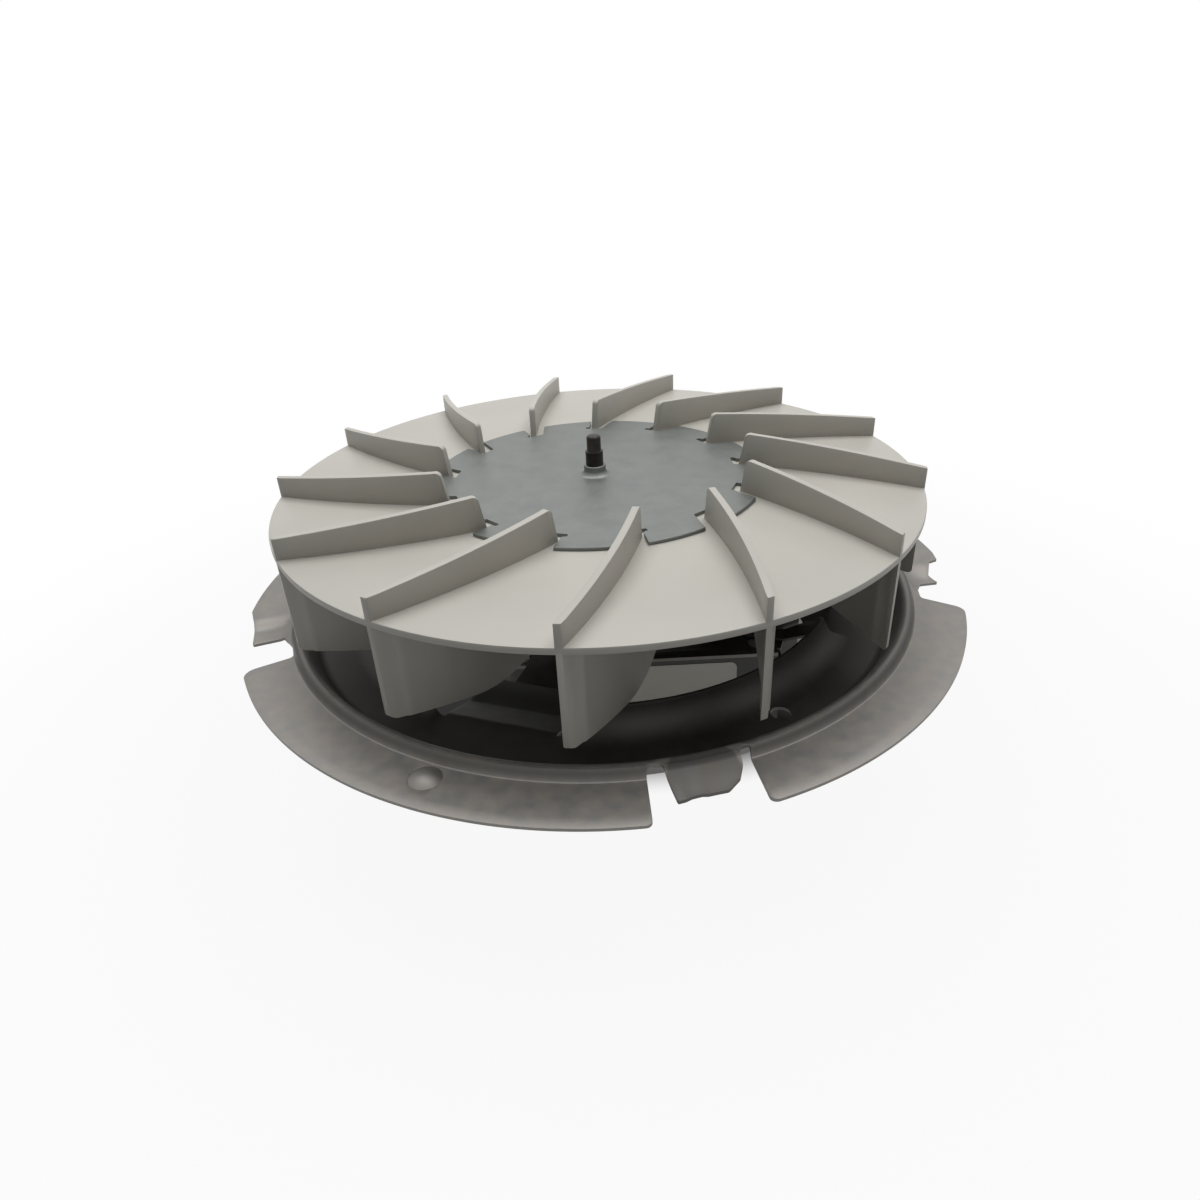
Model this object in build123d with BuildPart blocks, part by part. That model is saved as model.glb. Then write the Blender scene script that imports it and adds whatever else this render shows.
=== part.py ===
import os
from math import cos, radians, sin

from build123d import *

os.makedirs("parts", exist_ok=True)

# Driving dimensions in millimetres and degrees.
# The shaft axis is Z and the lowest face of the motor is z = 0.
IMPELLER_R = 90.0
IMPELLER_TOP = 79.0
IMPELLER_SHEET = 1.8
IMPELLER_BORE_R = 38.0
BLADE_COUNT = 13
FIRST_BLADE_ANGLE = -123.4
BLADE_TIP_T = 1.8
BLADE_T = 2.2
BLADE_TIP_LENGTH = 4.5
RIB_INNER_R = 43.0
BLADE_INNER_R = 40.0
BLADE_OUTER_ANGLE = 38.3
BLADE_ARC_R = 112.6
BLADE_BOTTOM = 53.2
BLADE_FLAT_INNER_R = 69.7
BLADE_KNEE_R = 14.0
BLADE_NOSE_BOTTOM = 74.3
RIB_OUTER_ANGLE = 22.5
RIB_ARC_R = 216.0
RIB_OUTER_H = 5.6
RIB_INNER_H = 9.4

HUB_DISC_R = 48.9
HUB_DISC_T = 1.0
HUB_NOTCH_INNER_R = 40.2
HUB_COLLAR_R = 3.1
HUB_COLLAR_H = 2.9
HUB_BUSH_R = 6.5
HUB_BUSH_FLANGE_R = 11.0
HUB_BUSH_BOTTOM = 66.0

SHAFT_R = 2.5
SHAFT_STUB_R = 2.0
SHAFT_STEP = 87.0
SHAFT_TOP = 91.4
SHAFT_BOTTOM = 1.3
BEARING_PLAY = 0.04

PLATE_R = 104.8
PLATE_T = 0.8
PLATE_TOP = 45.5
PLATE_CREASE_R = 91.2
BEAD_OUTER_R = 90.2
BEAD_INNER_R = 88.4
BEAD_CREST = 48.2
TROUGH_TOP = 41.0
TROUGH_OUTER_R = 84.5
TROUGH_INNER_R = 76.0
INLET_R = 67.7
SIDE_CORNER_R = 3.5
FRONT_CORNER_R = 1.3
# The gap round the front tab: where each side is at its root and at the flange's rim.
FRONT_GAP_ROOT = (-84.6, -70.0)
FRONT_GAP_RIM = (-85.6, -71.6)
FRONT_GAP_R = 88.8
FRONT_TAB_ANGLE = -77.4
FRONT_TAB_W = 15.4
FRONT_TAB_R = 97.0
FRONT_TAB_LOW = 43.6
# The side tabs: the gap's far edge at root and rim, the free end, the step up, and two radii.
SIDE_TABS = [
    (-157.2, -156.4, -165.4, -172.0, 91.6, 102.4),
    (-12.8, -15.4, -5.7, -0.4, 92.6, 101.4),
]
SIDE_TAB_DROP = 1.6
SIDE_TAB_RAMP = 3.2
DIMPLE_RADIUS = 96.0
DIMPLE_ANGLE = -114.9
DIMPLE_SPHERE_R = 4.2
DIMPLE_DEPTH = 2.6
PLATE_HOLE_R = 2.5
PLATE_HOLE_CIRCLE_R = 77.5
PLATE_HOLE_ANGLE = -57.0
# Four arms run from the trough in to the motor, and the mouth's lip slopes down beside each.
ARM_FIRST_ANGLE = -110.0
ARM_W = 24.0
ARM_ROOT_R = 69.5
ARM_BEND_R = 57.0
ARM_FOOT_R = 46.0
LIP_SLOPE_W = 11.0

STACK_BOTTOM = 9.6
STACK_T = 25.0
STACK_TOP = STACK_BOTTOM + STACK_T
STACK_LEFT = -29.0
STACK_RIGHT = 50.0
STACK_HALF_W = 31.0
STATOR_BORE_R = 16.5
WINDOW_LEFT = 24.0
WINDOW_HALF_W = 19.0
LIMB_LEFT = 36.0
BOLT_Y = 25.0
BOLT_R = 2.0
BOLT_HOLE_R = 2.2
RIVET_R = 1.5
RIVET_PLACES = [(-24.0, -26.5), (-24.0, 26.5), (44.0, -25.0), (44.0, 25.0)]

ROTOR_R = 16.1
CAGE_RING_T = 2.0
CAGE_BARS = 14

BRACKET_T = 1.2
BRACKET_OPENING_R = 21.0
BRIDGE_T = 1.5
BRIDGE_WIDTH = 22.0
BRIDGE_FOOT_END = 30.5
BRIDGE_FOOT_START = 20.5
BRIDGE_PLATEAU_HALF = 16.0
LOWER_BEARING_Z = 4.4
UPPER_BEARING_Z = 40.0
BEARING_SPHERE_R = 6.0
BEARING_HALF_LENGTH = 2.4
BEARING_CAP_R = 9.4
BEARING_CAP_T = 0.6

LABEL_LEFT = -10.0
LABEL_RIGHT = 37.4
LABEL_BOTTOM = 19.0
LABEL_TOP = 33.4

COIL_CLEAR_X = 58.6
COIL_CLEAR_Y = 20.0
COIL_WALL = 1.2
COIL_BUILD = 6.5
COIL_END_BUILD = 7.3
FLANGE_T = 1.2

impeller_bottom = IMPELLER_TOP - IMPELLER_SHEET
bracket_top = STACK_TOP + BRACKET_T
limb_right = STACK_RIGHT


def radial_plane(angle):
    """The upright plane through the shaft axis, its X outwards at this angle and its Y up."""
    outwards = (cos(radians(angle)), sin(radians(angle)), 0)
    sideways = (sin(radians(angle)), -cos(radians(angle)), 0)
    return Plane(origin=(0, 0, 0), x_dir=outwards, z_dir=sideways)


def tangent_plane(angle):
    """The upright plane across the radius at this angle, its X running counter-clockwise and its Y up."""
    outwards = (cos(radians(angle)), sin(radians(angle)), 0)
    along = (-sin(radians(angle)), cos(radians(angle)), 0)
    return Plane(origin=(0, 0, 0), x_dir=along, z_dir=outwards)


def polar_point(radius, angle):
    return (radius * cos(radians(angle)), radius * sin(radians(angle)))


def camber_arc(outer_angle, arc_r, from_outer, to_inner):
    """A blade's centre line in plan, between two distances along it from the impeller's rim."""
    centre = (IMPELLER_R - arc_r * sin(radians(outer_angle)), -arc_r * cos(radians(outer_angle)))
    per_mm = 57.2958 / arc_r
    start = 90 - outer_angle + from_outer * per_mm
    return CenterArc(centre, arc_r, start, (to_inner - from_outer) * per_mm)


def finish(piece, name):
    piece.part.label = name
    export_step(piece.part, f"parts/{name}.step")


# Impeller: a flat ring with ribs on top and curved blades underneath, one moulding.
with BuildSketch() as rib_outline:
    with BuildLine(mode=Mode.PRIVATE) as rib_line:
        camber_arc(RIB_OUTER_ANGLE, RIB_ARC_R, -2, 52)
    trace(rib_line.line, line_width=BLADE_TIP_T)

with BuildSketch() as blade_outline:
    with BuildLine(mode=Mode.PRIVATE) as tip_line:
        camber_arc(BLADE_OUTER_ANGLE, BLADE_ARC_R, -2, BLADE_TIP_LENGTH + 0.1)
    trace(tip_line.line, line_width=BLADE_TIP_T)
    with BuildLine(mode=Mode.PRIVATE) as blade_line:
        camber_arc(BLADE_OUTER_ANGLE, BLADE_ARC_R, BLADE_TIP_LENGTH, 56)
    trace(blade_line.line, line_width=BLADE_T)

with BuildPart() as ribs:
    with BuildSketch(Plane.XY.offset(impeller_bottom + 0.5)):
        with PolarLocations(0, BLADE_COUNT, start_angle=FIRST_BLADE_ANGLE):
            add(rib_outline.sketch)
    extrude(amount=RIB_INNER_H + IMPELLER_SHEET)
    with BuildSketch(Plane.XZ) as rib_envelope:
        with BuildLine():
            Polyline(
                (RIB_INNER_R, impeller_bottom + 0.5),
                (IMPELLER_R, impeller_bottom + 0.5),
                (IMPELLER_R, IMPELLER_TOP + RIB_OUTER_H),
                (RIB_INNER_R, IMPELLER_TOP + RIB_INNER_H),
                close=True,
            )
        make_face()
        fillet(rib_envelope.vertices().sort_by(Axis.Y)[-1], radius=3.0)
    revolve(axis=Axis.Z, mode=Mode.INTERSECT)

with BuildPart() as blades:
    with BuildSketch(Plane.XY.offset(BLADE_BOTTOM)):
        with PolarLocations(0, BLADE_COUNT, start_angle=FIRST_BLADE_ANGLE):
            add(blade_outline.sketch)
    extrude(amount=impeller_bottom + 0.5 - BLADE_BOTTOM)
    with BuildSketch(Plane.XZ) as blade_envelope:
        with BuildLine():
            Polyline(
                (BLADE_INNER_R, impeller_bottom + 0.5),
                (IMPELLER_R, impeller_bottom + 0.5),
                (IMPELLER_R - 0.4, BLADE_BOTTOM),
                (BLADE_FLAT_INNER_R, BLADE_BOTTOM),
                (BLADE_INNER_R, BLADE_NOSE_BOTTOM),
                close=True,
            )
        make_face()
        fillet(blade_envelope.vertices().group_by(Axis.Y)[0].sort_by(Axis.X)[-1], radius=2.0)
        fillet(blade_envelope.vertices().group_by(Axis.Y)[0].sort_by(Axis.X)[0], radius=BLADE_KNEE_R)
    revolve(axis=Axis.Z, mode=Mode.INTERSECT)

with BuildPart() as impeller:
    with BuildSketch(Plane.XY.offset(impeller_bottom)):
        Circle(IMPELLER_R)
        Circle(IMPELLER_BORE_R, mode=Mode.SUBTRACT)
    extrude(amount=IMPELLER_SHEET)
    add(ribs.part)
    add(blades.part)
finish(impeller, "impeller")

# Hub disc: pressed steel, notched for every rib, with a collar drawn up round the shaft.
with BuildPart() as hub_disc:
    with BuildSketch(Plane.XY.offset(IMPELLER_TOP)):
        Circle(HUB_DISC_R)
        Circle(SHAFT_R, mode=Mode.SUBTRACT)
        with PolarLocations(0, BLADE_COUNT, start_angle=FIRST_BLADE_ANGLE):
            Polygon(
                polar_point(HUB_DISC_R + 2, 10.4),
                polar_point(HUB_DISC_R + 2, 21.4),
                polar_point(HUB_NOTCH_INNER_R, 20.9),
                polar_point(HUB_NOTCH_INNER_R, 15.6),
                align=None,
                mode=Mode.SUBTRACT,
            )
    extrude(amount=HUB_DISC_T)
    with BuildSketch(Plane.XZ):
        collar_base = IMPELLER_TOP + HUB_DISC_T
        with BuildLine():
            Line((SHAFT_R, collar_base - 0.2), (SHAFT_R, collar_base + HUB_COLLAR_H))
            Line((SHAFT_R, collar_base + HUB_COLLAR_H), (HUB_COLLAR_R, collar_base + HUB_COLLAR_H))
            Line((HUB_COLLAR_R, collar_base + HUB_COLLAR_H), (HUB_COLLAR_R, collar_base + 1.6))
            RadiusArc((HUB_COLLAR_R, collar_base + 1.6), (HUB_COLLAR_R + 1.6, collar_base), -1.6)
            Line((HUB_COLLAR_R + 1.6, collar_base), (HUB_COLLAR_R + 1.6, collar_base - 0.2))
            Line((HUB_COLLAR_R + 1.6, collar_base - 0.2), (SHAFT_R, collar_base - 0.2))
        make_face()
    revolve(axis=Axis.Z)
finish(hub_disc, "hub_disc")

# Hub bush: a turned bush under the disc that grips the shaft.
with BuildPart() as hub_bush:
    with BuildSketch(Plane.XY.offset(HUB_BUSH_BOTTOM)):
        Circle(HUB_BUSH_R)
        Circle(SHAFT_R, mode=Mode.SUBTRACT)
    extrude(amount=IMPELLER_TOP - HUB_BUSH_BOTTOM)
    with BuildSketch(Plane.XY.offset(IMPELLER_TOP - 1.6)):
        Circle(HUB_BUSH_FLANGE_R)
        Circle(SHAFT_R, mode=Mode.SUBTRACT)
    extrude(amount=1.6)
    chamfer(hub_bush.edges().group_by(Axis.Z)[0].sort_by(SortBy.RADIUS)[-1], length=0.6)
finish(hub_bush, "hub_bush")

# Shaft: it steps down to a short stub above the hub disc.
with BuildPart() as shaft:
    with BuildSketch(Plane.XY.offset(SHAFT_BOTTOM)):
        Circle(SHAFT_R)
    extrude(amount=SHAFT_STEP - SHAFT_BOTTOM)
    with BuildSketch(Plane.XY.offset(SHAFT_STEP)):
        Circle(SHAFT_STUB_R)
    extrude(amount=SHAFT_TOP - SHAFT_STEP)
    chamfer(shaft.edges().group_by(Axis.Z)[-1], length=0.4)
    chamfer(shaft.edges().group_by(Axis.Z)[0], length=0.4)
finish(shaft, "shaft")

# Rotor: a slotted steel core with a cast cage of bars and end rings.
BAR_CIRCLE_R = 14.0
BAR_HOLE_R = 1.2
BAR_R = 1.17
with BuildPart() as rotor_core:
    with BuildSketch(Plane.XY.offset(STACK_BOTTOM)):
        Circle(ROTOR_R)
        Circle(SHAFT_R, mode=Mode.SUBTRACT)
        with PolarLocations(BAR_CIRCLE_R, CAGE_BARS):
            Circle(BAR_HOLE_R, mode=Mode.SUBTRACT)
    extrude(amount=STACK_T)
finish(rotor_core, "rotor_core")

with BuildPart() as rotor_cage:
    for ring_bottom in (STACK_BOTTOM - CAGE_RING_T, STACK_TOP):
        with BuildSketch(Plane.XY.offset(ring_bottom)):
            Circle(ROTOR_R - 0.5)
            Circle(9.0, mode=Mode.SUBTRACT)
        extrude(amount=CAGE_RING_T)
    with BuildSketch(Plane.XY.offset(STACK_BOTTOM)):
        with PolarLocations(BAR_CIRCLE_R, CAGE_BARS):
            Circle(BAR_R)
    extrude(amount=STACK_T)
finish(rotor_cage, "rotor_cage")

# Thrust washers: one between the rotor and each bearing.
bearing_faces = {
    "lower_thrust_washer": (LOWER_BEARING_Z + BEARING_HALF_LENGTH + 0.05, STACK_BOTTOM),
    "upper_thrust_washer": (STACK_TOP, UPPER_BEARING_Z - BEARING_HALF_LENGTH - 0.05),
}
for washer_name, (washer_bottom, washer_top) in bearing_faces.items():
    with BuildPart() as thrust_washer:
        with BuildSketch(Plane.XY.offset(washer_bottom)):
            Circle(4.6)
            Circle(SHAFT_R, mode=Mode.SUBTRACT)
        extrude(amount=washer_top - washer_bottom)
    finish(thrust_washer, washer_name)

# Stator core: a C of laminations round the rotor, with a slit each side that parts its poles.
SHADING_LEG_R = 1.1
SHADING_CIRCLE_R = 19.4
SHADING_ANGLES = ((136.0, 160.0), (-44.0, -20.0))
with BuildPart() as stator_core:
    with BuildSketch(Plane.XY.offset(STACK_BOTTOM)) as lamination:
        with BuildLine():
            Polyline(
                (STACK_LEFT, -STACK_HALF_W),
                (STACK_RIGHT, -STACK_HALF_W),
                (STACK_RIGHT, -WINDOW_HALF_W),
                (WINDOW_LEFT, -WINDOW_HALF_W),
                (WINDOW_LEFT, WINDOW_HALF_W),
                (STACK_RIGHT, WINDOW_HALF_W),
                (STACK_RIGHT, STACK_HALF_W),
                (STACK_LEFT, STACK_HALF_W),
                close=True,
            )
        make_face()
        fillet(lamination.vertices().group_by(Axis.X)[0], radius=4.0)
        Circle(STATOR_BORE_R, mode=Mode.SUBTRACT)
        with Locations((-23.5, 0), (21.5, 0)):
            SlotOverall(9.0, 3.0, mode=Mode.SUBTRACT)
        with Locations((0, -BOLT_Y), (0, BOLT_Y)):
            Circle(BOLT_HOLE_R, mode=Mode.SUBTRACT)
        with Locations(*RIVET_PLACES):
            Circle(RIVET_R, mode=Mode.SUBTRACT)
        for pair in SHADING_ANGLES:
            for leg_angle in pair:
                with Locations(polar_point(SHADING_CIRCLE_R, leg_angle)):
                    Circle(SHADING_LEG_R + 0.05, mode=Mode.SUBTRACT)
    extrude(amount=STACK_T)
finish(stator_core, "stator_core")

with BuildPart() as coil_core:
    with BuildSketch(Plane.XY.offset(STACK_BOTTOM)):
        with Locations(((LIMB_LEFT + limb_right) / 2, 0)):
            Rectangle(limb_right - LIMB_LEFT, 2 * WINDOW_HALF_W)
    extrude(amount=STACK_T)
finish(coil_core, "coil_core")

# Core rivets: they hold the laminations together, their heads flush inside the bracket's holes.
RIVET_HEAD_R = 2.6
RIVET_HEAD_T = 0.9
with BuildPart() as core_rivets:
    with BuildSketch(Plane.XY.offset(STACK_BOTTOM - RIVET_HEAD_T)):
        with Locations(*RIVET_PLACES):
            Circle(RIVET_HEAD_R)
    extrude(amount=RIVET_HEAD_T)
    with BuildSketch(Plane.XY.offset(STACK_TOP)):
        with Locations(*RIVET_PLACES):
            Circle(RIVET_HEAD_R)
    extrude(amount=RIVET_HEAD_T)
    with BuildSketch(Plane.XY.offset(STACK_BOTTOM)):
        with Locations(*RIVET_PLACES):
            Circle(RIVET_R)
    extrude(amount=STACK_T)
finish(core_rivets, "core_rivets")

# Shading rings: a closed copper loop through each pole.
with BuildPart() as shading_rings:
    for pair in SHADING_ANGLES:
        first_leg = polar_point(SHADING_CIRCLE_R, pair[0])
        second_leg = polar_point(SHADING_CIRCLE_R, pair[1])
        with BuildSketch(Plane.XY.offset(STACK_BOTTOM)):
            with Locations(first_leg, second_leg):
                Circle(SHADING_LEG_R)
        extrude(amount=STACK_T)
        for bar_bottom in (STACK_BOTTOM - 1.8, STACK_TOP):
            with BuildSketch(Plane.XY.offset(bar_bottom)):
                with BuildLine(mode=Mode.PRIVATE) as loop_end:
                    Line(first_leg, second_leg)
                trace(loop_end.line, line_width=2 * SHADING_LEG_R)
                with Locations(first_leg, second_leg):
                    Circle(SHADING_LEG_R)
            extrude(amount=1.8)
finish(shading_rings, "shading_rings")

# Coil: a bobbin on the core's limb, its winding, and a band of tape round that.
limb_x = (LIMB_LEFT + limb_right) / 2
limb_z = STACK_BOTTOM + STACK_T / 2
tube_w = limb_right - LIMB_LEFT + 2 * COIL_WALL
tube_h = STACK_T + 2 * COIL_WALL
wire_w = tube_w + 2 * (COIL_BUILD - COIL_WALL)
wire_h = tube_h + 2 * (COIL_END_BUILD - COIL_WALL)
flange_w = wire_w + 1.8
flange_h = 2 * limb_z
WIRE_HALF_L = WINDOW_HALF_W - 0.1 - FLANGE_T
TAPE_T = 0.4
# The coil's cross-sections lie on this plane: local X is the object's X and local Y is up.
coil_plane = Plane(origin=(limb_x, 0, limb_z), x_dir=(1, 0, 0), z_dir=(0, -1, 0))

with BuildPart() as coil_bobbin:
    with BuildSketch(coil_plane):
        Rectangle(tube_w, tube_h)
        Rectangle(tube_w - 2 * COIL_WALL, tube_h - 2 * COIL_WALL, mode=Mode.SUBTRACT)
    extrude(amount=WIRE_HALF_L + FLANGE_T, both=True)
    for side in (-1, 1):
        with BuildSketch(coil_plane.offset(side * (WIRE_HALF_L + FLANGE_T / 2))):
            RectangleRounded(flange_w, flange_h, 3.0)
            Rectangle(tube_w - 2 * COIL_WALL, tube_h - 2 * COIL_WALL, mode=Mode.SUBTRACT)
        extrude(amount=FLANGE_T / 2, both=True)
    # The terminal carrier stands off the rear flange, beside the end of the laminations.
    with BuildSketch(coil_plane.offset(-(WIRE_HALF_L + FLANGE_T))):
        with Locations((STACK_RIGHT + 0.6 + 3.4 - limb_x, 0)):
            Rectangle(6.8, 30.0)
    extrude(amount=-5.0)
finish(coil_bobbin, "coil_bobbin")

with BuildPart() as coil_winding:
    with BuildSketch(coil_plane):
        RectangleRounded(wire_w, wire_h, 5.0)
        Rectangle(tube_w, tube_h, mode=Mode.SUBTRACT)
    extrude(amount=WIRE_HALF_L, both=True)
finish(coil_winding, "coil_winding")

with BuildPart() as coil_wrap:
    with BuildSketch(coil_plane):
        RectangleRounded(wire_w + 2 * TAPE_T, wire_h + 2 * TAPE_T, 5.0 + TAPE_T)
        RectangleRounded(wire_w, wire_h, 5.0, mode=Mode.SUBTRACT)
    extrude(amount=WIRE_HALF_L - 1.2, both=True)
finish(coil_wrap, "coil_wrap")

TAB_W = 6.3
TAB_T = 0.8
with BuildPart() as power_terminals:
    for tab_z in (limb_z - 8.0, limb_z + 8.0):
        carrier_face = WIRE_HALF_L + FLANGE_T + 5.0
        with BuildSketch(Plane(origin=(54.0, carrier_face, tab_z), x_dir=(0, 1, 0), z_dir=(1, 0, 0))) as blade_tab:
            with Locations((4.0, 0)):
                Rectangle(8.0, TAB_W)
            chamfer(blade_tab.vertices().group_by(Axis.Y)[-1], length=1.2)
            with Locations((5.2, 0)):
                Circle(0.9, mode=Mode.SUBTRACT)
        extrude(amount=TAB_T / 2, both=True)
finish(power_terminals, "power_terminals")

# Motor bracket: a pressed plate on the laminations, its four arms under those of the mounting plate.
with BuildPart() as motor_bracket:
    with BuildSketch(Plane.XY.offset(STACK_TOP)) as bracket_plan:
        with Locations((0, 0)):
            RectangleRounded(60.0, 62.0, 4.0)
        with Locations((30.0, -25.5)):
            Rectangle(38.0, 11.0)
        for arm in range(4):
            with Locations(Location((0, 0, 0), (0, 0, ARM_FIRST_ANGLE + 90 * arm))):
                with Locations((ARM_BEND_R / 2, 0)):
                    Rectangle(ARM_BEND_R, ARM_W - 4.0)
        Circle(BRACKET_OPENING_R, mode=Mode.SUBTRACT)
        with Locations((WINDOW_LEFT + 20.0, 0)):
            Rectangle(40.0, 2 * COIL_CLEAR_Y, mode=Mode.SUBTRACT)
        with Locations((0, -BOLT_Y), (0, BOLT_Y)):
            Circle(BOLT_HOLE_R, mode=Mode.SUBTRACT)
        with Locations(*RIVET_PLACES):
            Circle(RIVET_HEAD_R + 0.4, mode=Mode.SUBTRACT)
    extrude(amount=BRACKET_T)
finish(motor_bracket, "motor_bracket")

# Mounting plate: one pressing with a flat flange, a raised bead, a trough and the inlet's mouth.
half_sheet = PLATE_T / 2
mouth_r = TROUGH_INNER_R - INLET_R - half_sheet
floor_middle = TROUGH_TOP - half_sheet
flange_middle = PLATE_TOP - half_sheet
crest_middle = BEAD_CREST - half_sheet
arm_foot_middle = bracket_top + half_sheet
with BuildPart() as mounting_plate:
    with BuildSketch(Plane.XZ):
        with BuildLine(mode=Mode.PRIVATE) as plate_line:
            FilletPolyline(
                (PLATE_R, flange_middle),
                (PLATE_CREASE_R, flange_middle),
                (BEAD_OUTER_R, crest_middle - 0.2),
                (BEAD_INNER_R, crest_middle),
                (TROUGH_OUTER_R, floor_middle),
                (TROUGH_INNER_R, floor_middle),
                radius=[0.5, 1.0, 1.2, 2.5],
            )
            JernArc((TROUGH_INNER_R, floor_middle), (-1, 0), mouth_r, -90)
        trace(plate_line.line, line_width=PLATE_T)
    revolve(axis=Axis.Z)

    # The mouth's wall opens at each arm, and its lip slopes down towards the opening.
    for arm in range(4):
        with BuildSketch(tangent_plane(ARM_FIRST_ANGLE + 90 * arm).offset(INLET_R - 6)):
            with BuildLine():
                Polyline(
                    (-ARM_W / 2, TROUGH_TOP - 2),
                    (ARM_W / 2, TROUGH_TOP - 2),
                    (ARM_W / 2, TROUGH_TOP + 0.2),
                    (ARM_W / 2 + LIP_SLOPE_W, TROUGH_TOP + mouth_r + 1),
                    (-ARM_W / 2 - LIP_SLOPE_W, TROUGH_TOP + mouth_r + 1),
                    (-ARM_W / 2, TROUGH_TOP + 0.2),
                    close=True,
                )
            make_face()
        extrude(amount=TROUGH_INNER_R - INLET_R + 6, mode=Mode.SUBTRACT)

    # Arms: each runs on from the trough's floor, slopes down and lies flat on the motor bracket.
    for arm in range(4):
        with BuildSketch(radial_plane(ARM_FIRST_ANGLE + 90 * arm)):
            with BuildLine(mode=Mode.PRIVATE) as arm_line:
                FilletPolyline(
                    (TROUGH_INNER_R + 1.5, floor_middle),
                    (ARM_ROOT_R, floor_middle),
                    (ARM_BEND_R, arm_foot_middle),
                    (ARM_FOOT_R, arm_foot_middle),
                    radius=3.0,
                )
            trace(arm_line.line, line_width=PLATE_T)
        extrude(amount=ARM_W / 2, both=True)
    with BuildSketch(Plane.XY.offset(bracket_top - 1)):
        with Locations((COIL_CLEAR_X / 2, 0)):
            Rectangle(COIL_CLEAR_X, 2 * COIL_CLEAR_Y)
    extrude(amount=10, mode=Mode.SUBTRACT)

    # Gaps in the flange beside its tabs.
    gaps = [(*FRONT_GAP_ROOT, *FRONT_GAP_RIM, FRONT_GAP_R, turn) for turn in (0, 180)]
    gaps += [(side, step, rim, step, root_r, 0) for side, rim, free_end, step, root_r, tip_r in SIDE_TABS]
    for root_start, root_end, rim_start, rim_end, root_r, turn in gaps:
        with BuildSketch(Plane.XY.offset(PLATE_TOP - 4)) as gap:
            with BuildLine():
                gap_arc = CenterArc((0, 0), root_r, root_start + turn, root_end - root_start)
                Polyline(
                    gap_arc @ 1,
                    polar_point(PLATE_R + 1, rim_end + turn),
                    polar_point(PLATE_R + 9, (rim_start + rim_end) / 2 + turn),
                    polar_point(PLATE_R + 1, rim_start + turn),
                    gap_arc @ 0,
                )
            make_face()
            fillet(gap.vertices().sort_by_distance((0, 0, PLATE_TOP - 4))[0:2], radius=1.4)
        extrude(amount=5, mode=Mode.SUBTRACT)
    flange_corners = mounting_plate.edges().filter_by(Axis.Z).filter_by(
        lambda edge: (edge.center().X ** 2 + edge.center().Y ** 2) ** 0.5 > PLATE_R - 0.1
    )
    fillet(flange_corners.filter_by(lambda edge: abs(edge.center().Y) < PLATE_R / 2), radius=SIDE_CORNER_R)
    fillet(flange_corners.filter_by(lambda edge: abs(edge.center().Y) > PLATE_R / 2), radius=FRONT_CORNER_R)

    # Front and back tabs: bent down from the bead.
    for tab_angle in (FRONT_TAB_ANGLE, FRONT_TAB_ANGLE + 180):
        with BuildSketch(radial_plane(tab_angle)):
            with BuildLine(mode=Mode.PRIVATE) as tab_line:
                FilletPolyline(
                    (BEAD_INNER_R + 0.2, crest_middle - 0.1),
                    (BEAD_OUTER_R - 0.2, crest_middle - 0.3),
                    (BEAD_OUTER_R + 3.0, FRONT_TAB_LOW + 0.6),
                    (FRONT_TAB_R, FRONT_TAB_LOW),
                    radius=0.8,
                )
            trace(tab_line.line, line_width=PLATE_T)
        extrude(amount=FRONT_TAB_W / 2, both=True)

    # Side tabs: each steps down from the flange at one end and is free at the other.
    for side, rim, free_end, step, root_r, tip_r in SIDE_TABS:
        middle = (free_end + step) / 2
        half_tab = tip_r * radians(abs(free_end - step)) / 2
        sense = 1 if free_end > step else -1
        with BuildSketch(tangent_plane(middle).offset(root_r)):
            with BuildLine(mode=Mode.PRIVATE) as side_line:
                FilletPolyline(
                    (-sense * (half_tab + 0.8), flange_middle),
                    (-sense * (half_tab - 0.3), flange_middle),
                    (-sense * (half_tab - SIDE_TAB_RAMP), flange_middle - SIDE_TAB_DROP),
                    (sense * half_tab, flange_middle - SIDE_TAB_DROP),
                    radius=0.8,
                )
            trace(side_line.line, line_width=PLATE_T)
        extrude(amount=tip_r - root_r)

    with BuildSketch(Plane.XY.offset(TROUGH_TOP - 2)):
        with PolarLocations(PLATE_HOLE_CIRCLE_R, 3, start_angle=PLATE_HOLE_ANGLE):
            Circle(PLATE_HOLE_R)
    extrude(amount=4, mode=Mode.SUBTRACT)

    # Dimple: a small dome pressed up from the flange.
    with Locations((*polar_point(DIMPLE_RADIUS, DIMPLE_ANGLE), PLATE_TOP - DIMPLE_DEPTH)):
        Sphere(DIMPLE_SPHERE_R)
        Sphere(DIMPLE_SPHERE_R - PLATE_T, mode=Mode.SUBTRACT)
    with BuildSketch(Plane.XY.offset(PLATE_TOP - PLATE_T)):
        with Locations(polar_point(DIMPLE_RADIUS, DIMPLE_ANGLE)):
            Circle(DIMPLE_SPHERE_R + 1)
    extrude(amount=-2 * DIMPLE_SPHERE_R, mode=Mode.SUBTRACT)
finish(mounting_plate, "mounting_plate")

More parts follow.
